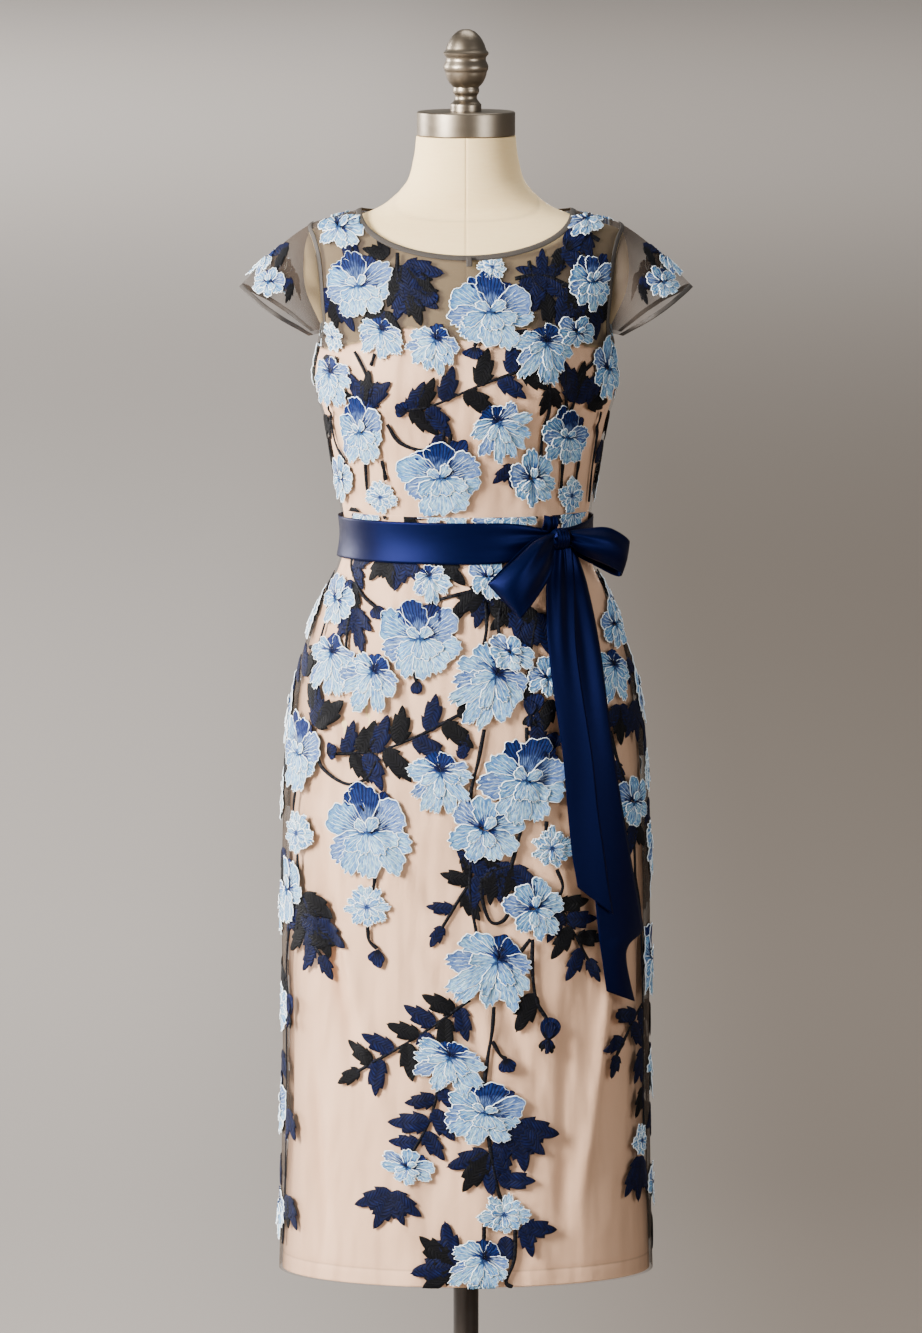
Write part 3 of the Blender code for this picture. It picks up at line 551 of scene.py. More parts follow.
LINING = lining_finish()
NET = net_finish()
BINDING = binding_finish()
SATIN = satin_finish()
THREAD = thread_finish()
LINEN = linen_finish()
NICKEL = metal_finish("brushed_nickel", srgb(130, 119, 104), 0.29, 0.16)
DARK_METAL = metal_finish("zip_metal", srgb(92, 86, 80), 0.3, 0.1)
BRONZE = bronze_finish()

# The three parts of each layer: name, first seam, last seam, and the edge the zip lies along
PANELS = (("front", -90, 90, 0), ("back_left", 90, 180, 1), ("back_right", 180, 270, -1))


# Skirt and waist strip

def level_grid(first, last, heights, zip_side, columns):
    """Turns and heights of a panel between two seams, drawn in by the seams and by the zip's room."""
    row = row_at(heights)
    at_side = np.minimum(along(FRONT, row), along(BACK, row))
    at_back = along(HALF_WIDTH, row)
    zip_room = (ZIP_HALF + SEAM) * smooth_step(heights, ZIP_END - 0.03, ZIP_END)
    first_reach = at_back if zip_side < 0 else at_side
    last_reach = at_back if zip_side > 0 else at_side
    start = first + np.degrees((SEAM + zip_room * (zip_side < 0)) / first_reach)
    stop = last - np.degrees((SEAM + zip_room * (zip_side > 0)) / last_reach)
    turns = start[:, None] + (stop - start)[:, None] * np.linspace(0, 1, columns + 1)
    return turns, np.broadcast_to(heights[:, None], turns.shape)


def net_cover(turn, above_lining, low):
    """How much the net hides.

    Little over the lining, more over the bare form, and most at the skirt's sides, seen edge on.
    """
    across = np.abs(np.sin(np.radians(turn)))
    side = (0.30 * across**9 + 0.45 * across**60) * low
    return np.clip(0.10 + 0.60 * smooth_step(above_lining, -0.0006, 0.0006) + side, 0, 0.85)


def lining_seams(turn, height):
    """Stitch lines of the two waist darts, darkened partly as painted shade of the darts' folds."""
    darts = sum(np.exp(-(((turn - middle) / 0.5) ** 2)) for middle in (-36.5, 34.5))
    return 0.55 * darts * smooth_step(height, 1.10, 1.108) * (1 - smooth_step(height, 1.165, 1.19))


# Strips of net: name, bottom, top, rows of points, how each is held and what it rests on
NET_STRIPS = (
    ("skirt", HEM, BAND_BOTTOM, 100, "hung", "lining_skirt_%s_cloth"),
    ("waistband", BAND_BOTTOM, WAIST_SEAM, 8, "stretched", "lining_bodice_%s_cloth"),
)


def skirt():
    """The lining skirt with its stitched hem, and the net over it from the hem to the waist seam."""
    hem_low, hem_stitch = HEM + 0.0012, HEM + 0.0172
    hem_rows = hem_low + np.array([0.0, 0.0015, 0.004, 0.009, 0.0145, 0.016, 0.0175])
    for part, first, last, zip_side in PANELS:
        columns = 2 * (last - first) // 3
        heights = np.concatenate([hem_rows, np.linspace(0.36, LINING_WAIST - EDGE_GAP, 80)])
        turns, levels = level_grid(first, last, heights, zip_side, columns)
        stitched = -0.0005 * np.exp(-(((levels - hem_stitch) / 0.0012) ** 2))
        points = moved(turns, row_at(levels), lining_out(turns, levels) + stitched)
        # The darts and the hem's stitched groove get the seam mark: stitch lines with painted shade in them.
        cloth("lining_skirt_%s_cloth" % part, points, LINING, ["lining_skirt_" + part],
              wall=CLOTH_WALL,
              marks={"seam": lining_seams(turns, levels) + 0.55 * (stitched < -0.0003)})
        for strip_name, bottom, top, count, held, under in NET_STRIPS:
            heights = np.linspace(bottom + EDGE_GAP, top - EDGE_GAP, count)
            turns, levels = level_grid(first, last, heights, zip_side, columns)
            low = 1 - smooth_step(levels, 0.93, 1.04)
            cloth("net_%s_%s" % (strip_name, part), moved(turns, row_at(levels), overlay_out(turns, levels)),
                  NET, ["mesh_%s_%s" % (strip_name, part)],
                  marks={"cover": net_cover(turns, -1.0, low)})


# Bodice

def lining_top(turn):
    """Heart-shaped top edge in front, level behind."""
    from_front = np.abs((np.asarray(turn, float) + 180) % 360 - 180)
    crest = 0.0125 * np.exp(-(((from_front - 22) / 14) ** 2))
    front = 1.2805 + crest - 0.0135 * smooth_step(from_front, 30, 75)
    return np.where(from_front <= 90, front, 1.267)


def lining_bodice():
    for part, first, last, zip_side in PANELS:
        columns = 2 * (last - first) // 3
        share = np.linspace(0, 1, 46)[:, None]
        turns = np.linspace(first, last, columns + 1)[None, :]
        low = LINING_WAIST + EDGE_GAP
        levels = low + (lining_top(turns) - low) * share
        reach = np.where(turns % 180 == 90, 0.11, 0.14)
        room = SEAM + (ZIP_HALF + SEAM) * (zip_side != 0) * (turns == 180)
        edge = np.degrees(room / reach) * ((turns == first) * 1.0 - (turns == last) * 1.0)
        turns = np.broadcast_to(turns + edge, levels.shape)
        stitched = -0.0004 * np.exp(-((lining_top(turns) - levels - 0.004) / 0.001) ** 2)
        out = lining_out(turns, levels) + stitched
        cloth("lining_bodice_%s_cloth" % part, moved(turns, row_at(levels), out), LINING,
              ["lining_bodice_" + part], wall=CLOTH_WALL,
              marks={"seam": lining_seams(turns, levels)})


def armhole_angle(face, column, share):
    """How far the armhole's bow draws a place in from its straight line, in degrees."""
    return ARMHOLE_BOW[face] * (column / COLUMNS) ** 2 * np.sin(np.pi * np.clip(share, 0, 1)) ** 0.55


def yoke_place(face, column, share):
    """Angle from the face's centre and row above the underarm, for a column and a share of the way up."""
    w = 1 - (1 - np.clip(column / NECK_COLUMNS, 0, 1)) ** 1.6
    low = FRONT_NECK if face == "front" else BACK_NECK
    neck_x = NECK_HALF_WIDTH * np.sin(np.radians(90 * w))
    neck_row = row_at(low + (NECK_POINT - low) * (1 - np.cos(np.radians(90 * w))))
    neck_angle = np.degrees(np.arcsin(np.clip(neck_x / along(HALF_WIDTH, neck_row), -1, 1)))
    neck_angle = np.where(w > 0.999, 90.0, neck_angle)
    shoulder = np.clip((column - NECK_COLUMNS) / (COLUMNS - NECK_COLUMNS), 0, 1)
    top_row = neck_row + shoulder * (row_at(SHOULDER_TIP) - row_at(NECK_POINT))
    foot_angle = 90 * column / COLUMNS
    angle = foot_angle + (neck_angle - foot_angle) * share - armhole_angle(face, column, share)
    return angle, row_at(UNDERARM) + (top_row - row_at(UNDERARM)) * share


def half_bodice(face, fine=8):
    """Turns from the face's centre and rows of half a bodice face, from the waist seam to the neckline."""
    column = np.linspace(0, COLUMNS, COLUMNS * fine + 1)[None, :]
    rings = np.linspace(WAIST_SEAM + EDGE_GAP, UNDERARM, 42)[:-1, None]
    share = (np.linspace(0, 1, 44)[:, None]) ** 1.05
    angle, row = yoke_place(face, column, share)
    foot = np.broadcast_to(90 * column / COLUMNS, (len(rings), column.shape[1]))
    return np.vstack([foot, angle]), np.vstack([np.broadcast_to(row_at(rings), foot.shape), row])


def net_bodice_part(part, turns, rows):
    levels = along(HEIGHT, rows)
    cloth("net_bodice_" + part, moved(turns, rows, overlay_out(turns, levels)), NET, ["mesh_bodice_" + part],
          marks={"cover": net_cover(turns, levels - lining_top(turns), 0.0)})


def net_bodice():
    angle, row = half_bodice("front")
    angle = angle - np.degrees(SEAM / 0.1) * (angle == angle[:, -1:])
    net_bodice_part("front", np.hstack([-angle[:, :0:-1], angle]), np.hstack([row[:, :0:-1], row]))
    angle, row = half_bodice("back")
    zip_room = np.degrees((ZIP_HALF + 2 * SEAM) / along(HALF_WIDTH, row))
    angle = angle + zip_room * (1 - angle[:1] / 90)
    net_bodice_part("back_left", 180 - angle[:, ::-1], row[:, ::-1])
    net_bodice_part("back_right", 180 + angle, row)


# Sleeves, bindings and the loop tab at the neck

SLEEVE_TIP = np.array([0.2265, 0.0, 1.326])
SLEEVE_LOW = np.array([0.1560, 0.030, 1.279])
SLEEVE_REACH = 0.066
SLEEVE_BULGE = 0.002
SLEEVE_SEAM = 0.0006
SLEEVE_HEM = 0.0045
ARMHOLE_HALF_WAY = 0.11


def armhole_at(share):
    """Row and the turns in front and behind, a share of the way up the left armhole from the underarm."""
    front, back = (90 - armhole_angle(face, COLUMNS, share) for face in ("front", "back"))
    return row_at(UNDERARM) + (row_at(SHOULDER_TIP) - row_at(UNDERARM)) * share, front, 180 - back


def armhole(place):
    """Armhole edge on the wearer's left, and its normal; place runs from -1, front underarm, to 1, back."""
    row, front, back = armhole_at(0.07 + 0.93 * np.cos(np.pi / 2 * np.abs(place)))
    turn = np.where(place < 0, front, back)
    return skin(turn, row), normal(turn, row)


def clear_of_form(points):
    """The same points, eased outwards where they would sink into the form under them."""
    row = row_at(points[..., 2])
    wide = along(HALF_WIDTH, row)
    deep = np.where(points[..., 1] < 0, along(FRONT, row), along(BACK, row))
    level = np.hypot(points[..., 0] / wide, points[..., 1] / deep)
    short = 1 - 0.0012 / wide - level
    stretch = 1 + 0.5 * (short + np.sqrt(short**2 + 0.008**2)) / level
    return points * np.stack([stretch, stretch, 1 + 0 * stretch], -1)


def sleeve_place(place, reach):
    """The left sleeve's surface: a straight line from armhole to hem arc, bulged to clear the shoulder.

    reach is 0 at the armhole and 1 at the hem. Soft cross folds run from the shoulder to the hem.
    """
    place, reach = np.broadcast_arrays(place, reach)
    start, out = armhole(place)
    heading = armhole(place + 0.004)[0] - armhole(place - 0.004)[0]
    start = start + unit(np.cross(heading, out)) * SLEEVE_SEAM
    w = np.abs(place)[..., None]
    hem = SLEEVE_TIP + (SLEEVE_LOW - SLEEVE_TIP) * w**1.15
    hem[..., 1] = np.sign(place) * SLEEVE_REACH * np.sin(0.86 * np.pi * np.abs(place))
    ahead, up = 0.9 * np.sin(np.pi / 2 * place), 0.75 * (1 - np.abs(place)) + 0.1
    lift = unit(np.stack([0.6 + 0 * place, ahead, up], -1))
    q = reach[..., None]
    pleats = 0.0016 * np.sin(9 * place + 1.2) * np.sin(np.pi * reach) + 0.0012 * np.sin(17 * place) * reach
    bulge = SLEEVE_BULGE * 6.75 * q * (1 - q) ** 2 + pleats[..., None]
    return clear_of_form(start + (hem - start) * q + lift * bulge)


MIRROR = np.array([-1.0, 1.0, 1.0])


def mirrored(points):
    """The same grid on the other side of the middle, its columns turned round to face out again."""
    return (points * MIRROR)[:, ::-1]


SIDES = (("left", lambda grid: grid), ("right", mirrored))


def sleeves():
    place = np.linspace(-1, 1, 97)[None, :]
    length = np.linalg.norm(sleeve_place(place, 1.0) - sleeve_place(place, 0.0), axis=-1)
    last = 1 - SLEEVE_HEM / length
    reach = last * np.linspace(1, 0, 26)[:, None]
    body = sleeve_place(place, reach)
    gathered = 0.05 * np.sin(9 * place + 1.2) * np.sin(np.pi * reach) + 0.05 * np.sin(23 * place) * reach
    # The net is denser near the armhole: gathered there, and partly a painted shade under the arm.
    cover = 0.24 + 0.62 * (1 - reach) ** 1.7 + gathered
    band = sleeve_place(place, 1 + (last - 1) * np.linspace(0, 1, 4)[:, None])
    for side, turned_to in SIDES:
        cloth("net_sleeve_" + side, turned_to(body), NET, ["cap_sleeve_" + side],
              marks={"cover": cover})
        cloth("sleeve_binding_" + side, turned_to(band), BINDING, ["sleeve_hem_" + side],
              wall=BINDING_WALL, on="net_sleeve_" + side)


BINDING_LIFT, BINDING_CROWN = 0.0008, 0.0004


def strip(path, out, across, width, rows=6):
    """A narrow folded binding from a path across by its width, crowned along its middle."""
    share = np.linspace(0, 1, rows)[:, None, None]
    return path + across * width * share + out * (BINDING_CROWN * np.sin(np.pi * share) + BINDING_LIFT)


def neck_edge():
    """Turns and rows of the neckline on the wearer's left, from the centre front to the zip."""
    column = NECK_COLUMNS * (1 - (1 - np.linspace(0, 1, 61)) ** (1 / 1.6))
    top = np.ones(len(column))
    (front, front_row), (back, back_row) = (yoke_place(face, column, top) for face in ("front", "back"))
    turn = np.concatenate([front, 180 - back[-2::-1]])
    row = np.concatenate([front_row, back_row[-2::-1]])
    zip_room = np.degrees((ZIP_HALF + 2 * SEAM) / along(HALF_WIDTH, row))
    return np.minimum(turn, 180 - zip_room), row


def armhole_ring():
    """Turns and rows round the left armhole, from the underarm up its front and down its back."""
    row, front, back = armhole_at(0.5 - 0.5 * np.cos(np.linspace(0, np.pi, 73)))
    return np.concatenate([front, back[-2:0:-1]]), np.concatenate([row, row[-2:0:-1]])


def bindings():
    turn, row = neck_edge()
    path, out = skin(turn, row), normal(turn, row)
    inward = unit(np.cross(unit(np.gradient(path, axis=0)), out))
    left = strip(path + inward * NECK_BINDING, out, -inward, NECK_BINDING)
    left[:, 0, 0] = 0.0
    grid = np.concatenate([mirrored(left)[:, :-1], left], axis=1)
    cloth("neck_binding_cloth", grid, BINDING, ["neck_binding"],
          wall=BINDING_WALL, on="net_bodice_front")
    turn, row = armhole_ring()
    path, out = skin(turn, row), normal(turn, row)
    heading = unit(np.roll(path, -1, axis=0) - np.roll(path, 1, axis=0))
    grid = strip(path, out, unit(np.cross(out, heading)), ARM_BINDING)
    for side, turned_to in SIDES:
        cloth("armhole_binding_%s_cloth" % side, turned_to(grid), BINDING, ["armhole_binding_" + side],
              wall=BINDING_WALL, ring=True, on="net_bodice_front")


def neck_tab():
    """Loop of binding below the middle of the front neckline: a narrow band bent into an oval."""
    phase = np.linspace(0, 2 * np.pi, 33)[None, :]
    across = np.linspace(-1, 1, 5)[:, None]
    level = FRONT_NECK - 0.0072 + 0.0046 * np.cos(phase) + 0 * across
    turn = 1.1 + 1.0 * across + 0 * phase
    grid = moved(turn, row_at(level), 0.0040 + 0.0012 * np.sin(phase) + 0 * across)
    cloth("neck_tab_cloth", grid, BINDING, ["neck_loop"],
          wall=0.0004, on="net_bodice_front")


# Ribbon belt and bow

BELT_OUT = 0.0023
KNOT_OUT = 0.0112
KNOT_HALF = (0.0098, 0.0080, 0.0104)


def belt():
    """Ribbon round the waist; its height is pinched towards the knot, where it falls into pleats."""
    turns = KNOT_TURN + np.linspace(0, 360, 241)[:-1]
    away = np.abs((turns - KNOT_TURN + 180) % 360 - 180)
    right_of_knot = (turns - KNOT_TURN) % 360 < 180
    pinch = 1 - 0.56 * np.exp(-((away / np.where(right_of_knot, 26.0, 17.0)) ** 2))
    middle = BELT_MIDDLE + (KNOT_HEIGHT - BELT_MIDDLE) * np.exp(-((away / 20) ** 2))
    share = np.linspace(-1, 1, 19)[:, None]
    levels = middle + 0.5 * share * BELT_HEIGHT * pinch
    near = np.exp(-((away / 24) ** 2))
    pleats = 0.0013 * near * np.cos(7.5 * share + 0.5)
    soft = 0.0005 * np.sin(2.6 * share + np.radians(3 * turns)) * np.sin(np.radians(2 * turns + 40))
    edges = -0.0003 * np.abs(share) ** 6
    out = BELT_OUT + 0.0010 + pleats + soft + edges
    cloth("ribbon_belt_cloth", moved(turns[None, :], row_at(levels), out), SATIN, ["ribbon_belt"],
          wall=CLOTH_WALL, ring=True)


def knot_frame():
    """Place of the knot on the belt, the way along the belt to the wearer's left, and the way out."""
    place, out = skin(KNOT_TURN, row_at(KNOT_HEIGHT)), normal(KNOT_TURN, row_at(KNOT_HEIGHT))
    out[2] = 0.0
    out = unit(out)
    return place, np.array([-out[1], out[0], 0.0]), out


def knot():
    """Ribbon wrapped over the middle of the bow.

    An oval round the belt's line, swept along it and rounded at its ends; its pleats run over it.
    """
    place, belt_way, out = knot_frame()
    s = np.sin(np.linspace(-np.pi / 2, np.pi / 2, 42))[1:-1, None]
    phase = np.linspace(0, 2 * np.pi, 73)[None, :-1]
    full = (1 - np.abs(s) ** 4.0) ** (1 / 2.6)
    pleats = 1 + 0.065 * np.cos(6.0 * np.pi * s + 0.9 * np.sin(phase) + 0.6) * full
    radius = full * pleats
    length, depth, height = KNOT_HALF
    points = (
        place
        + out * (KNOT_OUT + depth * radius * np.cos(phase))[..., None]
        + belt_way * (length * s * (1 + 0.06 * np.cos(2 * phase)))[..., None]
        + np.array([0.0, 0.0, 1.0]) * (height * radius * np.sin(phase))[..., None]
    )
    middle, half = place + out * KNOT_OUT, belt_way * length
    stitch = np.stack(np.broadcast_arrays(phase * 12, s * 12), -1).reshape(-1, 2)
    closed_solid("bow_knot_cloth", points[::-1], middle - half, middle + half, SATIN, ["bow_knot"],
                 stitch=np.concatenate([stitch, np.zeros((2, 2))]))
    share = np.linspace(0, 1, 21)
    turns = KNOT_TURN - 8.9 + 7.8 * share[None, :] + 1.6 * share[:, None]
    levels = KNOT_HEIGHT + 0.0096 + 0.0150 * share[:, None] - 0.003 * share[None, :]
    crease = 0.0024 * np.sin(np.pi * share[:, None])
    crease = crease + 0.0012 * np.cos(11 * share[None, :] + 3 * share[:, None])
    cloth("knot_wrap_cloth", moved(turns, row_at(levels), 0.0046 + crease), SATIN, ["knot_wrap"],
          wall=CLOTH_WALL)


# Bow loops from the knot's middle, right, back and up: the upper and the lower edge at the gather, at each
# third and at the far end; then the way the front swells, how far front and rear swell, the drop of the rear
# and where its pleats start, in radians
LOOPS = {
    "bow_loop_front": (
        ((-0.0080, -0.0080, 0.0068), (-0.0275, -0.0220, 0.0016), (-0.0500, -0.0360, -0.0175),
         (-0.0735, -0.0460, -0.0395)),
        ((-0.0080, -0.0080, -0.0068), (-0.0100, -0.0215, -0.0270), (-0.0225, -0.0330, -0.0495),
         (-0.0412, -0.0460, -0.0745)),
        (0.25, -0.97, 0.0), 0.0090, 0.0040, 0.0015, 0.9,
    ),
    "bow_loop_side": (
        ((0.0085, 0.0065, 0.0072), (0.0223, 0.0160, 0.0092), (0.0446, 0.0270, 0.0090),
         (0.0675, 0.0375, -0.0050)),
        ((0.0085, 0.0065, -0.0066), (0.0190, 0.0160, -0.0165), (0.0395, 0.0270, -0.0270),
         (0.0598, 0.0375, -0.0375)),
        (0.49, -0.87, 0.0), 0.0105, 0.0065, 0.0060, 2.3,
    ),
}


def bow_loop(name):
    """A ribbon between two curved edges that leaves the knot, folds back at its far end and returns behind.

    Its pleats fan out of the knot and fade towards the fold; a soft hollow runs along each layer.
    """
    upper, lower, swell_way, swell, rear_swell, drop, start = LOOPS[name]
    place, _, out = knot_frame()
    phase = np.linspace(0, 2 * np.pi, 97)[None, :]
    share = np.linspace(0, 1, 25)[:, None]
    reach = (1 - np.cos(phase)) / 2
    top, low = (np.stack([along(column, 3 * reach[0]) for column in np.array(table).T], -1)
                for table in (upper, lower))
    depth = np.where(phase < np.pi, swell, rear_swell) * np.sin(phase) * np.sqrt(reach)
    front = np.where(phase < np.pi, 1.0, 0.5)
    pleats = 0.0021 * (1 - reach) ** 1.3 * np.cos(13.0 * share + start + 2.0 * reach)
    hollow = 0.0026 * np.sin(np.pi * reach) * np.cos(5.6 * share + 1.3 * start + 1.6 * reach)
    rounded = 0.0085 * (4 * share * (1 - share)) * np.sin(phase) * np.sqrt(reach)
    depth = depth + 0.0019 * np.cos(phase / 2) + (pleats + hollow) * front + rounded
    rear = smooth_step(phase, 0.7 * np.pi, 1.3 * np.pi) * reach
    grid = (
        place
        + out * (KNOT_OUT + 0.002)
        + low[None]
        + (top - low)[None] * share[..., None]
        + np.array(swell_way) * depth[..., None]
        - np.array([0.0, 0.0, drop]) * rear[..., None]
    )
    cloth(name + "_cloth", grid[:, ::-1], SATIN, [name], wall=CLOTH_WALL)


# Ribbon tails: height, near edge, far edge, distance out
SHORT_TAIL = np.array([
    (1.0700, 0.0800, 0.0985, 0.0062),
    (1.0300, 0.0750, 0.1030, 0.0072),
    (0.9650, 0.0780, 0.1060, 0.0094),
    (0.8700, 0.0915, 0.1200, 0.0092),
    (0.8100, 0.0970, 0.1260, 0.0090),
    (0.7600, 0.1020, 0.1330, 0.0088),
    (0.7215, 0.1065, 0.1400, 0.0088),
])
LONG_TAIL = np.array([
    (1.0700, 0.0880, 0.1040, 0.0042),
    (1.0300, 0.0880, 0.1170, 0.0050),
    (0.9650, 0.0960, 0.1290, 0.0062),
    (0.8700, 0.1090, 0.1410, 0.0058),
    (0.7600, 0.1215, 0.1580, 0.0056),
    (0.6980, 0.1275, 0.1685, 0.0056),
    (0.6840, 0.1290, 0.1690, 0.0056),
    (0.6690, 0.1305, 0.1545, 0.0056),
    (0.6220, 0.1365, 0.1630, 0.0056),
])


def tail(name, table, slant, wave_start):
    """Ribbon tail over the hip: two edges and a distance out from a table, with a soft lengthwise fold."""
    row = np.linspace(0, len(table) - 1, 91)
    heights, near, far, out = (along(column, row)[:, None] for column in table.T)
    share = np.linspace(0, 1, 19)[None, :]
    fallen = np.linspace(0, 1, 91)[:, None]
    x = near + (far - near) * share
    levels = heights + slant * smooth_step(fallen, 0.75, 1.0) * (1 - 2 * share)
    half_width = along(HALF_WIDTH, row_at(levels))
    turns = np.degrees(np.arcsin(np.clip(x / half_width, -0.999, 0.999)))
    soft = 0.0013 * np.sin(3.4 * share + wave_start + 3.0 * fallen) * smooth_step(fallen, 0.0, 0.3)
    gathers = 0.0016 * np.cos(12 * share + wave_start) * (1 - smooth_step(fallen, 0.0, 0.45))
    curl = 0.0006 * np.sin(7 * fallen + 2 * share + wave_start)
    grid = moved(turns, row_at(levels), out + 0.0016 + soft + gathers + curl)
    cloth(name + "_cloth", grid[::-1], SATIN, [name],
          wall=CLOTH_WALL)


# Centre-back zip

TOOTH_PITCH = 0.0014
TOOTH_SIZE = (0.0012, 0.0006, 0.0007)


def boxes(places, right, up, out, size):
    """Small boxes: for each place and its three ways, eight corners and six quads."""
    corner = np.array([(x, y, z) for z in (-1, 1) for y in (-1, 1) for x in (-1, 1)]) * 0.5 * np.array(size)
    points = (
        places[:, None]
        + right[:, None] * corner[None, :, :1]
        + up[:, None] * corner[None, :, 1:2]
        + out[:, None] * corner[None, :, 2:]
    )
    faces = np.array([(0, 2, 3, 1), (4, 5, 7, 6), (0, 1, 5, 4), (2, 6, 7, 3), (0, 4, 6, 2), (1, 3, 7, 5)])
    quads = faces[None] + 8 * np.arange(len(places))[:, None, None]
    return points.reshape(-1, 3), quads.reshape(-1, 4)


def zip_parts():
    """The tape and its two rows of teeth; the slider and its pull stay the CAD's own."""
    heights = np.linspace(ZIP_END, ZIP_TOP, 160)
    row = row_at(heights)
    half_turn = np.degrees(ZIP_HALF / along(HALF_WIDTH, row))
    turns = 180 + half_turn[:, None] * np.linspace(-1, 1, 5)
    out = overlay_out(turns, heights[:, None]) - 0.0003
    cloth("zip_tape", moved(turns, row[:, None], out), BINDING, ["zip_chain"],
          on="net_bodice_back_left")
    levels = np.arange(ZIP_END + 0.003, ZIP_TOP - 0.009, TOOTH_PITCH / 2)
    side = np.where(np.arange(len(levels)) % 2, 1.0, -1.0)
    row = row_at(levels)
    turn = 180 + side * np.degrees(0.00035 / along(HALF_WIDTH, row))
    face = normal(turn, row)
    right = np.broadcast_to((-1.0, 0.0, 0.0), face.shape)
    places = moved(turn, row, overlay_out(turn, levels) + 0.0003)
    points, quads = boxes(places, right, np.cross(face, right), face, TOOTH_SIZE)
    ON_SHEET["net_bodice_back_left"].append(solid("zip_teeth", points, quads, DARK_METAL, []))
    for name in ("zip_slider", "zip_pull"):
        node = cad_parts[name]
        node.data.materials.clear()
        node.data.materials.append(DARK_METAL)


# Dress form and stand

def revolve(name, profile, material, nodes, steps=96):
    """A turned solid: a profile of (radius, height) from its top pole down its outer side to its foot."""
    profile = np.array(profile)
    angle = np.linspace(0, 2 * np.pi, steps, endpoint=False)
    rim = profile[1:-1][::-1]
    points = np.stack([
        rim[:, :1] * np.cos(angle),
        rim[:, :1] * np.sin(angle),
        np.broadcast_to(rim[:, 1:], (len(rim), steps)),
    ], axis=-1)
    piece = closed_solid(name, points, (0, 0, profile[0, 1]), (0, 0, profile[-1, 1]), material, nodes)
    piece.data.set_sharp_from_angle(angle=np.radians(35))


def form():
    """Padded torso under a cloth cover: the body surface drawn in to clear the dress, closed at both ends."""
    near_seam = np.array([-1.6, -1.1, -0.7, -0.35, 0.35, 0.7, 1.1, 1.6])
    turns = np.concatenate([np.linspace(0, 360, 97)[:-1], near_seam % 360, 180 + near_seam])
    turns = np.unique(turns)[None, :]
    heights = np.concatenate([
        np.linspace(FORM_BOTTOM, 1.375, 76)[:-1],
        np.linspace(1.375, 1.425, 40)[:-1],
        np.linspace(1.425, FORM_TOP, 20),
    ])
    rows = row_at(heights)
    levels = along(HEIGHT, rows)[:, None]
    lined = 1 - smooth_step(levels, 1.285, 1.33)
    bare = smooth_step(levels, 1.402, 1.428)
    loose = 0.006 * (1 - smooth_step(levels, 0.80, 0.90))
    shoulder = 0.0015 * smooth_step(levels, 1.335, 1.365) * (1 - bare)
    under_overlay = (WALL + FORM_GAP) * (1 - bare) + shoulder
    clear = under_overlay + (WALL + LAYER_GAP) * lined + ease(turns, levels) + loose
    rim = 0.010
    clear = clear + rim - np.sqrt(rim**2 - np.clip(FORM_BOTTOM + rim - levels, 0, rim) ** 2)
    flat = moved(turns, rows[:, None], -clear)
    x, z = flat[..., 0], flat[..., 2]
    middle = np.exp(-((x / 0.0009) ** 2))
    collar = 1.421 - 0.026 * np.clip(np.cos(np.radians(turns)), 0, 1) + 0 * levels
    ring = np.exp(-(((z - collar) / 0.0011) ** 2))
    # The seams are pressed in and also darkened by the seam mark, partly as painted shade.
    seam = np.clip(middle * (z > 1.0) + 0.8 * ring, 0, 1)
    points = flat - normal(turns, rows[:, None]) * (0.0005 * seam)[..., None]
    points[0, :, 2] = FORM_BOTTOM
    points[-1, :, 2] = FORM_TOP
    piece = closed_solid("form_cover", points, (0, 0, FORM_TOP), (0, 0, FORM_BOTTOM), LINEN, ["form_torso"],
                         marks={"seam": np.concatenate([0.35 * seam.ravel(), [0, 0]])})
    piece.data.set_sharp_from_angle(angle=np.radians(50))


def arc(centre, radius, start, end, steps):
    """Points on an arc round a centre, in the plane of radius and height, angles in degrees."""
    angles = np.radians(np.linspace(start, end, steps))
    return [(centre[0] + radius * np.cos(a), centre[1] + radius * np.sin(a)) for a in angles]


CAP_LOW, CAP_HIGH, CAP_RADIUS, CAP_ROUND = FORM_TOP + EDGE_GAP, 1.5010, 0.0490, 0.0020
POLE_RADIUS, BASE_RADIUS = 0.01275, 0.185


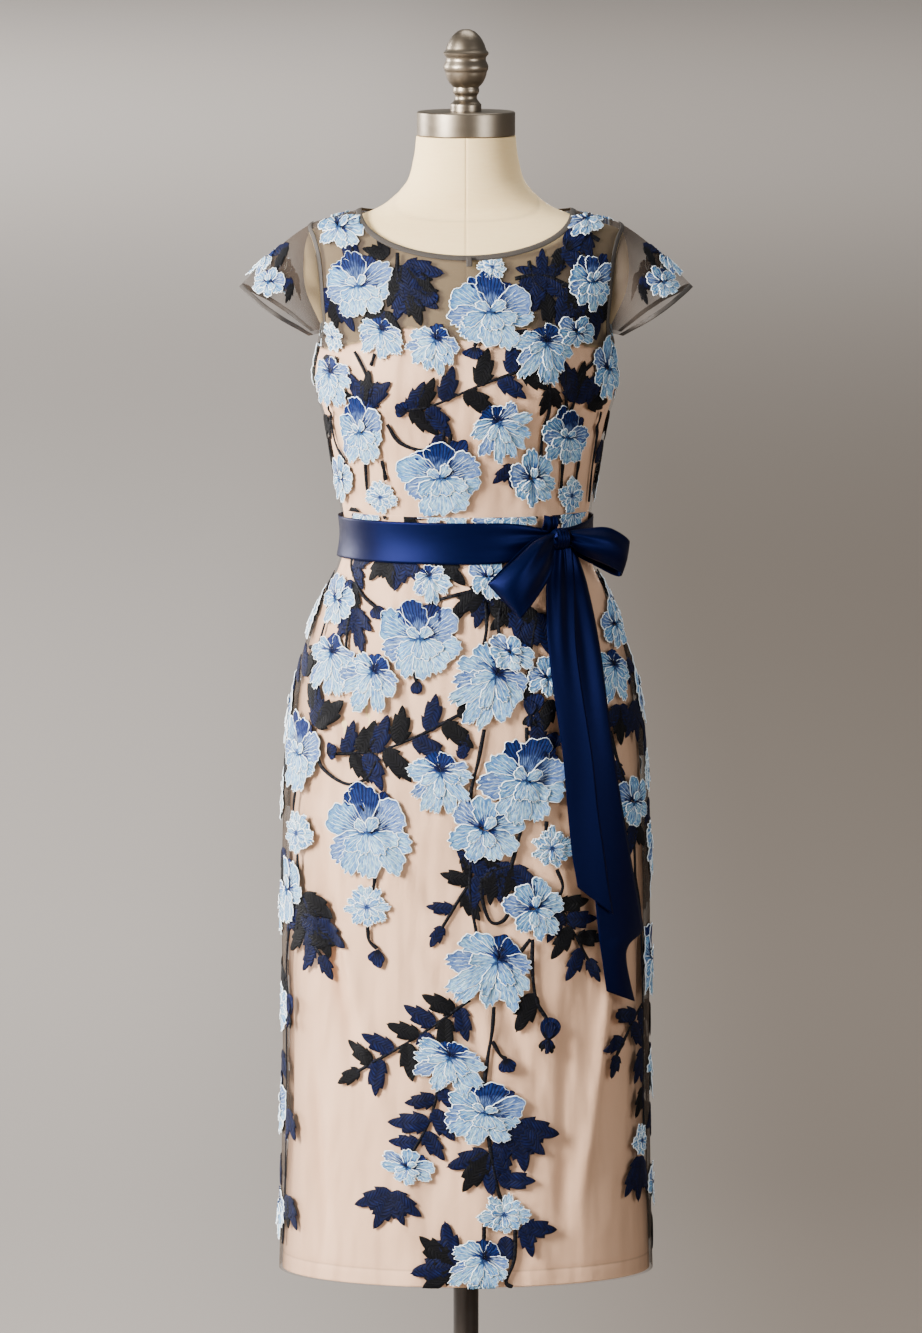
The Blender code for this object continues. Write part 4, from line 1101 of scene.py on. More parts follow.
def stand():
    """Neck cap, finial, collar, pole and base, each turned round the pole's axis."""
    cap = [(0, CAP_HIGH), *arc((CAP_RADIUS - CAP_ROUND, CAP_HIGH - CAP_ROUND), CAP_ROUND, 90, 0, 8)]
    cap += [(CAP_RADIUS, CAP_LOW + 0.0010), (CAP_RADIUS - 0.0010, CAP_LOW), (0, CAP_LOW)]
    revolve("neck_cap_turned", cap, NICKEL, ["neck_cap"], 128)

    foot = CAP_HIGH + EDGE_GAP
    bowl = np.array([
        (0.0200, 1.5543), (0.0200, 1.5518), (0.0212, 1.5490), (0.0224, 1.5456), (0.0220, 1.5425),
        (0.0209, 1.5404), (0.0203, 1.5372), (0.0187, 1.5328), (0.0163, 1.5286), (0.0128, 1.5250),
    ])
    stem = np.array([
        (0.0128, 1.5242), (0.0132, 1.5222), (0.0128, 1.5194), (0.0114, 1.5172), (0.0109, 1.5151),
        (0.0115, 1.5126), (0.0137, 1.5098), (0.0152, 1.5080), (0.0154, 1.5048), (0.0154, foot),
    ])
    finial = [
        (0, 1.5827), (0.0040, 1.5824), (0.0080, 1.5808), (0.0112, 1.5784), (0.0140, 1.5754), (0.0164, 1.5718),
        (0.0183, 1.5680), (0.0197, 1.5640), (0.0205, 1.5616), (0.0218, 1.5606), (0.0227, 1.5590),
        (0.0222, 1.5572), (0.0208, 1.5558),
    ]
    for table in (bowl, stem):
        fine = np.linspace(0, len(table) - 1, 28)
        finial += list(np.stack([along(column, fine) for column in table.T], -1))
    finial += [(0, foot)]
    revolve("finial_turned", finial, NICKEL, ["finial"])

    collar_low, hub_top = 0.735, 0.062
    collar_high = FORM_BOTTOM - EDGE_GAP
    collar = [(0, collar_high), (0.030, collar_high), (0.032, FORM_BOTTOM - 0.003), (0.032, 0.757)]
    collar += [(0.020, 0.750), (0.018, collar_low), (0, collar_low)]
    revolve("pole_collar_turned", collar, BRONZE, ["pole_collar"])
    pole_high, pole_low = collar_low - EDGE_GAP, hub_top + EDGE_GAP
    pole = [(0, pole_high), (POLE_RADIUS, pole_high), (POLE_RADIUS, pole_low), (0, pole_low)]
    revolve("stand_pole_turned", pole, BRONZE, ["stand_pole"])
    base = [
        (0, hub_top),
        *arc((0.0175, hub_top - 0.0025), 0.0025, 90, 0, 6),
        (0.0205, 0.040),
        *arc((0.0335, 0.0395), 0.0130, 182, 262, 9),
        (0.060, 0.0228),
        (0.100, 0.0200),
        (0.150, 0.0168),
        *arc((BASE_RADIUS - 0.006, 0.0090), 0.006, 75, 0, 8),
        (BASE_RADIUS, 0.0020),
        (BASE_RADIUS - 0.002, 0),
        (0, 0),
    ]
    revolve("stand_base_turned", base, BRONZE, ["stand_base"], 144)


# Embroidery: places on the cloth

TABLE_ROWS = np.linspace(0, LAST_ROW, 521)
TABLE_TURNS = np.linspace(0, 180, 361)
REACH = arc_lengths(skin(TABLE_TURNS[None, :], TABLE_ROWS[:, None]))
SHARES = np.linspace(0, 1, 361)
TURN_OF_SHARE = np.stack([np.interp(SHARES, reach / reach[-1], TABLE_TURNS) for reach in REACH])


def looked_up(table, row, column):
    """Value between the four nearest entries of a table, at row and column numbers that may be fractions."""
    i = np.clip(np.floor(row).astype(int), 0, table.shape[0] - 2)
    j = np.clip(np.floor(column).astype(int), 0, table.shape[1] - 2)
    r, c = np.clip(row - i, 0, 1), np.clip(column - j, 0, 1)
    low = table[i, j] * (1 - c) + table[i, j + 1] * c
    return low * (1 - r) + (table[i + 1, j] * (1 - c) + table[i + 1, j + 1] * c) * r


def table_row(height):
    return row_at(height) / LAST_ROW * (len(TABLE_ROWS) - 1)


def half_round(height):
    """Distance along the body at this height from the centre front to the centre back."""
    return np.interp(row_at(height), TABLE_ROWS, REACH[:, -1])


def turn_at(across, height):
    """Turn of a place that lies a distance across the cloth from the centre front."""
    share = np.clip(np.abs(across) / half_round(height), 0, 1)
    return np.sign(across) * looked_up(TURN_OF_SHARE, table_row(height), share * (len(SHARES) - 1))


def across_at(turn, height):
    """Distance across the cloth from the centre front to a turn; the table has two columns to a degree."""
    return np.sign(turn) * looked_up(REACH, table_row(height), np.abs(turn) * 2)


DROP = 0.114


def on_cloth(x, up):
    """Distance across the cloth and height of a place seen from in front, from a little above.

    A place that stands out towards the viewer looks lower by DROP times how far it stands out.
    """
    x, up = np.asarray(x, float), np.asarray(up, float)
    height = up
    for _ in range(4):
        row = row_at(height)
        sine = np.clip(x / along(HALF_WIDTH, row), -0.995, 0.995)
        height = up + DROP * along(FRONT, row) * np.sqrt(1 - sine**2)
    sine = np.clip(x / along(HALF_WIDTH, row_at(height)), -0.995, 0.995)
    return across_at(np.degrees(np.arcsin(sine)), height), height


TONES = {
    "pale": srgb(166, 210, 230), "sky": srgb(126, 180, 214), "mist": srgb(148, 196, 224),
    "lilac": srgb(122, 150, 192), "blue": srgb(20, 46, 106), "navy": srgb(12, 28, 80),
    "night": srgb(7, 6, 13), "stem": srgb(9, 9, 16),
    "leaf": srgb(9, 22, 68),
}

# Petals of each kind of flower, in hundredths of the flower's radius and pointing up at angle 0: where each
# starts (x, y), angle, length, width, teeth, depth of the teeth, how high it lies, tone, tone of its root
KINDS = {
    "blossom": (
        (2, 10, 34, 96, 46, 5, 14, 0, "navy", "night"), (-2, 10, -34, 98, 46, 5, 14, 0, "blue", "navy"),
        (0, 6, 2, 96, 58, 6, 14, 1, "blue", "lilac"), (6, 0, 64, 100, 62, 7, 13, 2, "lilac", "navy"),
        (-6, 0, -62, 106, 64, 7, 13, 1, "sky", "blue"), (6, -4, 108, 92, 50, 8, 15, 1, "mist", "blue"),
        (-6, -4, -108, 94, 52, 8, 15, 2, "lilac", "sky"), (8, -10, 144, 92, 44, 8, 18, 3, "pale", "sky"),
        (-8, -10, -146, 94, 44, 8, 18, 3, "mist", "sky"), (0, -14, 180, 88, 42, 8, 18, 4, "pale", "sky"),
        (12, -4, 122, 56, 30, 7, 20, 5, "pale", "sky"), (-12, -4, -124, 58, 30, 7, 20, 5, "sky", "mist"),
        (2, -2, 158, 54, 28, 7, 20, 6, "pale", "mist"), (-2, 2, -164, 50, 26, 6, 20, 6, "mist", "sky"),
        (0, 0, 40, 40, 22, 5, 18, 6, "pale", "sky"), (0, 0, -46, 38, 22, 5, 18, 6, "pale", "lilac"),
    ),
    "fan": (
        (0, 50, 32, 62, 54, 5, 14, 0, "blue", "navy"), (0, 50, -34, 64, 54, 5, 14, 0, "blue", "night"),
        (0, 50, 80, 98, 46, 7, 18, 1, "lilac", "navy"), (0, 50, -82, 98, 46, 7, 18, 1, "sky", "navy"),
        (0, 48, 108, 116, 44, 7, 18, 2, "pale", "blue"), (0, 48, -106, 116, 44, 7, 18, 2, "mist", "blue"),
        (0, 46, 132, 132, 42, 8, 18, 3, "mist", "sky"), (0, 46, -134, 132, 42, 8, 18, 3, "lilac", "sky"),
        (0, 44, 156, 142, 40, 8, 18, 2, "pale", "lilac"), (0, 44, -158, 142, 40, 8, 18, 4, "pale", "sky"),
        (0, 42, 180, 140, 36, 8, 18, 3, "mist", "sky"), (0, 44, 118, 72, 30, 7, 20, 5, "sky", "lilac"),
        (0, 44, -120, 74, 30, 7, 20, 5, "pale", "sky"), (0, 40, 174, 86, 30, 7, 20, 6, "pale", "sky"),
    ),
    "daisy": tuple(
        (0, 0, 360 * i / 13 + 6, 100 - 8 * (i % 3), 34, 7, 20, i % 2,
         ("pale", "mist", "sky")[i % 3], ("sky", "lilac")[i % 2]) for i in range(13)
    ) + tuple(
        (0, 0, 51.4 * i + 20, 60, 26, 5, 16, 2 + i % 2, ("pale", "sky")[i % 2], "lilac") for i in range(7)
    ),
    "pair": (
        (0, 5, 32, 88, 44, 5, 14, 0, "blue", "night"), (-10, 10, -64, 94, 60, 6, 13, 1, "lilac", "navy"),
        (10, 10, 62, 94, 60, 6, 13, 1, "mist", "navy"), (0, 5, -4, 92, 52, 6, 14, 2, "sky", "blue"),
        (-10, 0, -112, 90, 48, 8, 16, 2, "sky", "sky"), (10, 0, 112, 92, 48, 8, 16, 2, "pale", "blue"),
        (0, 0, 156, 92, 42, 8, 18, 3, "pale", "sky"), (0, 0, -158, 94, 42, 8, 18, 4, "mist", "lilac"),
        (0, 0, 138, 56, 28, 7, 20, 5, "pale", "sky"), (-4, 0, -128, 54, 28, 7, 20, 5, "pale", "sky"),
        (0, 2, 30, 42, 24, 5, 18, 5, "pale", "sky"),
    ),
    "bud": (
        (0, -50, -34, 130, 80, 2, 2, 0, "navy", "night"), (0, -50, 34, 130, 80, 2, 2, 0, "navy", "night"),
        (0, -60, 0, 150, 90, 3, 4, 1, "leaf", "night"),
    ),
    "pod": (
        (0, -30, 0, 150, 120, 2, 2, 0, "navy", "night"), (-10, -20, -150, 80, 36, 3, 20, 1, "night", "navy"),
        (10, -20, 150, 80, 36, 3, 20, 1, "night", "navy"), (0, -20, 180, 90, 30, 3, 20, 2, "leaf", "night"),
        (0, -20, 0, 110, 70, 2, 2, 2, "leaf", "navy"),
    ),
}

# Flowers of the bodice and skirt fronts, in millimetres and degrees: x and height as seen from in front,
# kind, width, height, angle
BODICE_FLOWERS = (
    (-126, 1383, "pair", 56, 46, 20), (-106, 1323, "blossom", 74, 62, -8), (-131, 1274, "daisy", 36, 34, 0),
    (-84, 1270, "fan", 50, 40, 14), (-34, 1259, "fan", 48, 48, 24), (24, 1296, "blossom", 88, 70, 2),
    (26, 1341, "daisy", 30, 26, 10), (77, 1254, "fan", 62, 56, 8), (109, 1277, "pair", 50, 34, 16),
    (124, 1328, "blossom", 50, 56, -4), (120, 1391, "pair", 52, 30, -18), (104, 1366, "bud", 26, 32, 40),
    (140, 1241, "pair", 56, 68, 6), (-134, 1226, "fan", 56, 52, 4), (-104, 1179, "blossom", 60, 70, -14),
    (-124, 1133, "pair", 46, 54, 8), (-84, 1114, "daisy", 40, 34, 0), (-25, 1133, "blossom", 84, 76, -6),
    (37, 1178, "fan", 56, 54, -26), (99, 1174, "blossom", 62, 56, 10), (66, 1131, "pair", 50, 62, -12),
    (104, 1116, "daisy", 38, 40, 0), (-36, 1311, "bud", 20, 20, 150), (-63, 1200, "bud", 20, 20, -60),
    (8, 1257, "bud", 21, 18, 180),
)
BAND_FLOWERS = (
    (-100, 1098, "daisy", 40, 36, 0), (-20, 1100, "fan", 50, 40, 0), (34, 1094, "blossom", 60, 40, 0),
    (52, 1096, "pair", 40, 36, 0), (106, 1092, "fan", 36, 40, 0), (120, 1070, "pair", 40, 40, 0),
)
SKIRT_FLOWERS = (
    (-33, 1026, "fan", 34, 36, -20), (22, 1033, "pair", 36, 50, -10), (-128, 1011, "pair", 52, 54, 14),
    (-135, 944, "fan", 52, 62, 12), (-98, 928, "fan", 54, 62, 36), (-45, 972, "blossom", 82, 80, -6),
    (20, 921, "fan", 68, 78, 34), (44, 957, "pair", 50, 36, 20), (81, 933, "pair", 44, 44, -10),
    (148, 986, "pair", 60, 52, -12), (146, 934, "fan", 52, 48, 10), (-166, 858, "blossom", 66, 80, 8),
    (-26, 826, "fan", 62, 60, 4), (59, 831, "blossom", 88, 84, 10), (-96, 779, "blossom", 92, 92, -8),
    (18, 781, "pair", 74, 74, 8), (-168, 777, "daisy", 52, 44, 0), (-177, 719, "pair", 56, 72, -10),
    (-98, 704, "daisy", 52, 44, 0), (85, 763, "daisy", 50, 42, 0), (69, 702, "pair", 56, 72, -30),
    (166, 808, "pair", 60, 56, 6), (22, 637, "fan", 72, 78, 34), (-18, 543, "fan", 68, 52, 12),
    (18, 498, "blossom", 80, 64, 14), (-57, 443, "pair", 54, 36, 12), (38, 395, "daisy", 54, 42, 0),
    (11, 339, "fan", 56, 58, 30), (175, 466, "daisy", 40, 34, 0), (-49, 925, "bud", 15, 20, 180),
    (-88, 1000, "bud", 18, 20, 160), (-133, 859, "bud", 18, 18, 70), (64, 899, "pod", 26, 30, 8),
    (-88, 655, "bud", 22, 24, 190), (40, 547, "bud", 20, 22, 160), (82, 575, "pod", 30, 34, 12),
    (-176, 597, "pod", 22, 34, 4),
)

# Sprays of leaves: x and height as seen from in front, angle they point, leaf length, leaves, spread, tones
BODICE_SPRAYS = (
    (-121, 1383, 166, 34, 1, 0, "leaf"), (-78, 1352, -44, 24, 2, 50, "night"),
    (-62, 1344, 150, 40, 4, 90, "leaf night"), (-50, 1318, 130, 20, 2, 60, "night"),
    (-128, 1318, 196, 38, 3, 80, "leaf night"), (-80, 1298, 200, 30, 3, 90, "night leaf"),
    (-58, 1322, 160, 34, 3, 70, "leaf night"), (112, 1384, 152, 38, 1, 0, "leaf"),
    (94, 1362, 160, 30, 2, 50, "leaf night"), (75, 1333, 0, 24, 3, 130, "leaf"),
    (75, 1333, 190, 32, 3, 110, "leaf"), (78, 1316, 172, 32, 1, 0, "night"),
    (100, 1322, 150, 34, 3, 90, "leaf night"), (128, 1312, 190, 38, 4, 110, "night leaf"),
    (130, 1350, 170, 34, 2, 50, "leaf"), (-100, 1203, 10, 38, 3, 70, "leaf night"),
    (-106, 1196, -10, 30, 2, 50, "night leaf"), (108, 1208, 16, 42, 3, 60, "leaf night"),
    (120, 1206, 60, 36, 2, 50, "leaf night"), (-136, 1256, 184, 30, 2, 40, "leaf night"),
    (-140, 1198, 176, 28, 2, 40, "night"), (84, 1222, 176, 26, 2, 40, "night"),
    (-35, 1158, 30, 26, 1, 0, "leaf"), (46, 1146, 205, 26, 2, 30, "leaf"),
    (136, 1172, 196, 30, 2, 50, "night leaf"), (-112, 1104, 180, 24, 2, 60, "night"),
    (140, 1150, 170, 26, 2, 40, "leaf night"),
)
BAND_SPRAYS = (
    (-110, 1100, 140, 20, 3, 100, "leaf night"), (-60, 1098, 90, 22, 3, 120, "night leaf"),
    (6, 1100, 100, 20, 3, 100, "leaf night"), (86, 1100, 80, 22, 3, 100, "leaf night"),
)
SKIRT_SPRAYS = (
    (-61, 1058, 172, 34, 2, 40, "leaf"), (-80, 1056, 190, 30, 2, 50, "night"),
    (-30, 1052, 110, 34, 2, 40, "night"), (-112, 1048, 112, 26, 2, 60, "leaf"),
    (-112, 1030, 196, 30, 2, 50, "night leaf"), (-112, 1002, 168, 32, 3, 70, "leaf"),
    (-110, 988, 166, 28, 1, 0, "leaf"), (20, 1024, 172, 38, 4, 110, "leaf night"),
    (48, 1008, 176, 32, 3, 80, "night leaf"), (70, 998, 178, 42, 2, 40, "leaf"),
    (16, 1046, 100, 30, 2, 50, "night"), (-160, 934, 4, 32, 2, 40, "leaf night"),
    (-152, 900, -6, 38, 1, 0, "night"), (-150, 884, 22, 40, 2, 40, "leaf night"),
    (62, 914, -30, 22, 2, 60, "night"), (86, 912, 196, 34, 1, 0, "night"),
    (153, 906, 182, 34, 3, 80, "leaf night"), (168, 910, 176, 36, 3, 70, "leaf"),
    (160, 952, 160, 24, 2, 50, "leaf"), (167, 790, 168, 34, 2, 40, "night leaf"),
    (148, 850, 186, 30, 2, 60, "leaf night"), (-6, 852, 20, 24, 1, 0, "leaf"),
    (70, 866, 40, 30, 2, 60, "leaf"), (47, 746, 196, 36, 3, 90, "leaf night"),
    (30, 740, 176, 30, 3, 90, "night leaf"), (-4, 756, 120, 22, 2, 60, "night"),
    (-162, 716, 158, 40, 3, 70, "night leaf"), (-150, 690, 160, 38, 3, 70, "leaf night"),
    (68, 618, 204, 40, 1, 0, "night"), (-74, 418, 186, 36, 4, 110, "leaf"),
    (22, 458, 214, 40, 3, 70, "leaf night"), (26, 464, 120, 34, 2, 60, "leaf"),
    (50, 486, 152, 42, 4, 80, "leaf"), (32, 430, 96, 34, 1, 0, "leaf"), (40, 374, 186, 30, 1, 0, "leaf"),
    (56, 384, 128, 34, 2, 50, "leaf"), (-12, 344, -74, 42, 4, 110, "night leaf"),
    (174, 450, 182, 40, 3, 60, "leaf"), (176, 560, 178, 34, 3, 50, "leaf"),
    (177, 520, 184, 32, 2, 40, "leaf night"), (-178, 498, 172, 32, 2, 40, "leaf"),
    (-178, 410, 178, 34, 3, 50, "leaf night"),
)

# Stems: leaf length and tones (0 and none on a plain one), then places along each, x and height as seen from
# in front
BODICE_STEMS = (
    (34, "leaf night", (-60, 1200), (-54, 1200), (-30, 1205), (10, 1222), (46, 1236), (62, 1241)),
    (0, "", (-78, 1186), (-66, 1168), (-44, 1160), (-26, 1166), (-20, 1184)),
    (0, "", (-31, 1163), (-36, 1146), (-32, 1136)), (0, "", (-15, 1176), (-18, 1154), (-24, 1146)),
    (0, "", (-68, 1356), (-66, 1330), (-48, 1318), (-40, 1313)),
    (0, "", (-114, 1368), (-110, 1350), (-106, 1336)),
    (0, "", (8, 1262), (14, 1272), (34, 1274), (60, 1278)), (0, "", (48, 1330), (75, 1334), (104, 1322)),
    (0, "", (62, 1348), (66, 1330), (76, 1318)), (0, "", (110, 1362), (122, 1374), (132, 1370)),
    (0, "", (82, 1242), (82, 1200), (76, 1180), (74, 1150), (72, 1110)),
    (0, "", (98, 1244), (98, 1220), (100, 1196)),
    (0, "", (130, 1252), (112, 1232), (106, 1206), (98, 1190)),
    (0, "", (-110, 1258), (-100, 1238), (-96, 1222), (-100, 1200)), (0, "", (-90, 1256), (-94, 1244)),
    (0, "", (-128, 1254), (-134, 1236)), (0, "", (-138, 1210), (-130, 1170), (-120, 1150)),
    (0, "", (-100, 1150), (-98, 1120), (-94, 1106)), (0, "", (-84, 1150), (-80, 1130)),
    (0, "", (96, 1150), (94, 1118)), (0, "", (112, 1150), (108, 1126)),
    (0, "", (134, 1200), (126, 1150), (122, 1110)),
)
BAND_STEMS = (
    (0, "", (-85, 1104), (-80, 1092)), (0, "", (64, 1104), (70, 1092)),
)
SKIRT_STEMS = (
    (37, "leaf night", (-130, 857), (-110, 858), (-86, 860), (-46, 876), (-4, 898)),
    (0, "", (-150, 864), (-142, 842), (-118, 827), (-98, 834), (-89, 850)),
    (0, "", (-106, 828), (-108, 812), (-100, 800)),
    (30, "leaf night", (46, 746), (26, 740), (4, 728), (-26, 680)),
    (34, "leaf night", (4, 611), (-46, 576), (-112, 536)),
    (32, "night leaf", (-170, 712), (-162, 684), (-144, 652)),
    (33, "night leaf", (88, 712), (104, 684), (124, 648)), (30, "leaf", (176, 604), (166, 586), (152, 550)),
    (33, "leaf", (-26, 530), (-36, 490), (-54, 456)),
    (0, "", (-112, 1060), (-114, 1044), (-104, 1018), (-90, 1004)),
    (0, "", (-140, 1040), (-138, 1000), (-148, 960), (-150, 930)),
    (0, "", (-114, 1000), (-118, 980), (-118, 956), (-106, 944)), (0, "", (-156, 964), (-140, 964)),
    (0, "", (20, 1022), (-8, 1016), (-34, 1008), (-38, 996)), (0, "", (10, 1018), (-6, 994), (-20, 984)),
    (0, "", (-49, 950), (-51, 938), (-49, 930)), (0, "", (20, 1010), (20, 980), (14, 950)),
    (0, "", (34, 1004), (32, 984), (36, 966)), (0, "", (70, 996), (64, 960), (62, 920)),
    (0, "", (92, 950), (72, 944), (56, 930), (34, 924)), (0, "", (18, 882), (12, 850), (6, 826), (2, 800)),
    (0, "", (60, 884), (60, 860), (56, 850)), (0, "", (80, 884), (74, 892), (86, 900)),
    (0, "", (-170, 820), (-172, 800), (-168, 786)), (0, "", (-168, 756), (-168, 730), (-172, 700)),
    (0, "", (-90, 738), (-92, 724), (-96, 712)), (0, "", (-98, 684), (-96, 670), (-88, 662)),
    (0, "", (56, 796), (54, 780), (50, 764), (44, 742)), (0, "", (80, 790), (78, 772)),
    (0, "", (90, 742), (96, 724), (88, 708)), (0, "", (4, 750), (4, 716), (10, 680), (14, 660)),
    (0, "", (15, 734), (16, 712), (24, 690), (36, 690), (46, 704)),
    (0, "", (64, 672), (48, 652), (34, 644)), (0, "", (66, 672), (66, 640), (70, 610), (80, 592)),
    (0, "", (28, 604), (26, 580), (22, 556), (18, 526)), (0, "", (26, 570), (34, 556), (40, 552)),
    (0, "", (22, 476), (26, 450), (32, 420), (36, 408)), (0, "", (18, 386), (18, 360), (22, 346)),
    (0, "", (49, 384), (48, 350), (40, 328), (46, 322)), (0, "", (34, 352), (38, 332)),
    (0, "", (145, 880), (152, 850), (158, 826)),
    (0, "", (166, 784), (170, 740), (174, 700), (177, 620), (178, 560), (179, 480)),
    (0, "", (-176, 690), (-180, 640), (-178, 612)),
    (0, "", (-181, 580), (-182, 500), (-182, 420), (-184, 360)),
)


# Work on the left sleeve: place round the armhole and reach to the hem in hundredths, then as above
SLEEVE_FLOWERS = (
    (-30, 74, "pair", 52, 38, 20), (4, 66, "fan", 48, 38, -8), (42, 62, "blossom", 46, 36, 6),
)
SLEEVE_SPRAYS = (
    (-16, 30, 165, 26, 2, 60, "leaf night"), (12, 40, 150, 24, 3, 90, "night leaf"),
    (-56, 50, 160, 20, 2, 60, "leaf night"), (56, 44, 150, 22, 2, 60, "night leaf"),
)

# Work over the side seams of the skirt: turn in degrees and height, then as the lists above
SIDE_WORK = (
    ("left", (
        (92, 1010, "pair", 50, 52, 6), (96, 925, "blossom", 70, 76, -6), (90, 840, "daisy", 50, 44, 0),
        (97, 760, "fan", 62, 62, 8), (90, 650, "blossom", 74, 78, 4), (99, 535, "fan", 60, 58, -8),
        (90, 420, "pair", 54, 52, 10),
    ), (
        (92, 890, 170, 36, 3, 70, "leaf night"), (92, 812, 190, 34, 2, 50, "night leaf"),
        (94, 604, 165, 36, 3, 70, "night leaf"), (96, 500, 190, 34, 3, 80, "leaf"),
        (92, 388, 175, 34, 2, 50, "leaf night"),
    )),
    ("right", (
        (-93, 1000, "fan", 50, 52, 6), (-95, 905, "blossom", 70, 72, 6), (-98, 815, "pair", 54, 60, 0),
        (-98, 700, "fan", 62, 60, -8), (-92, 600, "daisy", 52, 48, 0), (-98, 500, "blossom", 74, 70, -4),
        (-90, 390, "fan", 56, 52, 10),
    ), (
        (-92, 956, 170, 34, 2, 60, "leaf night"), (-94, 862, 190, 36, 3, 70, "night leaf"),
        (-92, 760, 172, 34, 3, 70, "leaf night"), (-96, 650, 186, 36, 3, 70, "night leaf"),
        (-92, 556, 175, 34, 2, 50, "leaf night"), (-94, 450, 190, 34, 3, 60, "leaf"),
    )),
)


class Stitchwork:
    """Raised embroidery gathered for one piece.

    It holds points, quads and triangles, and on each point a tint, stitch coordinates and the mark "inner".
    """

    def __init__(self):
        self.points, self.quads, self.tris = [], [], []
        self.tint, self.stitch, self.inner = [], [], []
        self.count = 0

    def add(self, points, quads, tint, stitch, inner, tris=None):
        points = points.reshape(-1, 3)
        self.points.append(points)
        self.quads.append(quads + self.count)
        self.tris.append((np.zeros((0, 3), int) if tris is None else tris) + self.count)
        self.tint.append(tint.reshape(-1, 3))
        self.stitch.append(stitch.reshape(-1, 2))
        self.inner.append(np.ravel(inner * np.ones(tint.shape[:-1])))
        self.count += len(points)

    def finish(self, name, sheet_name, mirror=False):
        points, quads = np.concatenate(self.points), np.concatenate(self.quads)
        tris = np.concatenate(self.tris)
        if mirror:
            points, quads, tris = points * MIRROR, quads[:, ::-1], tris[:, ::-1]
        piece = solid(name, points, quads, THREAD, [], tris=tris,
                      tint=np.concatenate(self.tint), stitch=np.concatenate(self.stitch),
                      marks={"inner": np.concatenate(self.inner)})
        ON_SHEET.setdefault(sheet_name, []).append(piece)


# A petal has ROUND points round it, in rings drawn in from its outline. CORD is how far in the sides of its
# edge cord lie, RAISED how high each ring stands, and INNER its mark away from the petal's root. A flower's
# radius is PETAL_SHARE of its width.
ROUND = 32
CORD = (0.00055, 0.00145)
PETAL_RINGS = len(CORD) + 2
RAISED = np.array([-0.0004, 0.0004, -0.00005, 0.0003, 0.0002])
INNER = np.array([1, 1, 0.2, 1, 1])
PETAL_MIDDLE = 0.58
PETAL_SHARE = 0.475
PLAIN_WORK = 2.0
FLOWER_OUT, LAYER_OUT = 0.0009, 0.0022
RNG = np.random.default_rng(7)


def turned(x, y, angle):
    """The same points turned clockwise, by an angle in degrees."""
    sine, cosine = np.sin(np.radians(angle)), np.cos(np.radians(angle))
    return x * cosine + y * sine, y * cosine - x * sine


def petal_outlines(length, wide, teeth, tooth):
    """Outlines of petals that point up, with each point's phase round them and its share of the length.

    An outline is (half width x sine, length x (1 - cosine) / 2), toothed towards its tip by a wave with
    round crests and sharp dips, and bent a little to one side.
    """
    n = len(length)
    even = np.linspace(0, 2 * np.pi, ROUND, endpoint=False)[None, :]
    phase = even + 0.5 * np.sin(even)
    rise = (1 - np.cos(phase)) / 2
    belly = np.sin(phase) * (0.5 + 0.62 * rise)
    bend = RNG.uniform(-0.16, 0.16, (n, 1))
    uneven = phase + 0.35 * np.sin(2 * phase + RNG.uniform(0, 6, (n, 1)))
    crest = 2 * np.abs(np.sin(0.74 * teeth * uneven + RNG.uniform(0, 3, (n, 1)))) ** 0.7 - 1
    crest = crest + 0.40 * np.sin(1.7 * teeth * phase + RNG.uniform(0, 6, (n, 1)))
    swell = 0.07 * np.sin(3 * phase + RNG.uniform(0, 6, (n, 1)))
    ripple = 1 + (0.8 * tooth * crest + swell) * smooth_step(rise, 0.15, 0.6)
    x = 0.62 * wide * belly * ripple / 0.86 + bend * length * rise**2
    return x, length * (PETAL_MIDDLE + (rise - PETAL_MIDDLE) * ripple), phase, rise


def petal_tints(petals, tip, phase):
    """Tints that run from the root's tone to the petal's, and which petals are dark, with a dim edge cord."""
    n = len(petals)
    main, root = (np.array([TONES[each[i]] for each in petals])[:, None, None] for i in (8, 9))
    change = 0.40 + 0.14 * np.sin(5 * phase + RNG.uniform(0, 6, (n, 1)))[:, None]
    tint = root + (main - root) * smooth_step(tip, change - 0.16, change + 0.16)[..., None]
    dark = np.array([each[8] in ("night", "leaf") or each[9] == "night" for each in petals])[:, None, None]
    cord = np.where(dark[..., None], 0.4 * main, tint[:, :len(CORD)])
    tint = np.concatenate([cord, tint[:, len(CORD):]], axis=1)
    return tint * RNG.uniform(0.84, 1.04, (n, 1, 1, 1)), dark


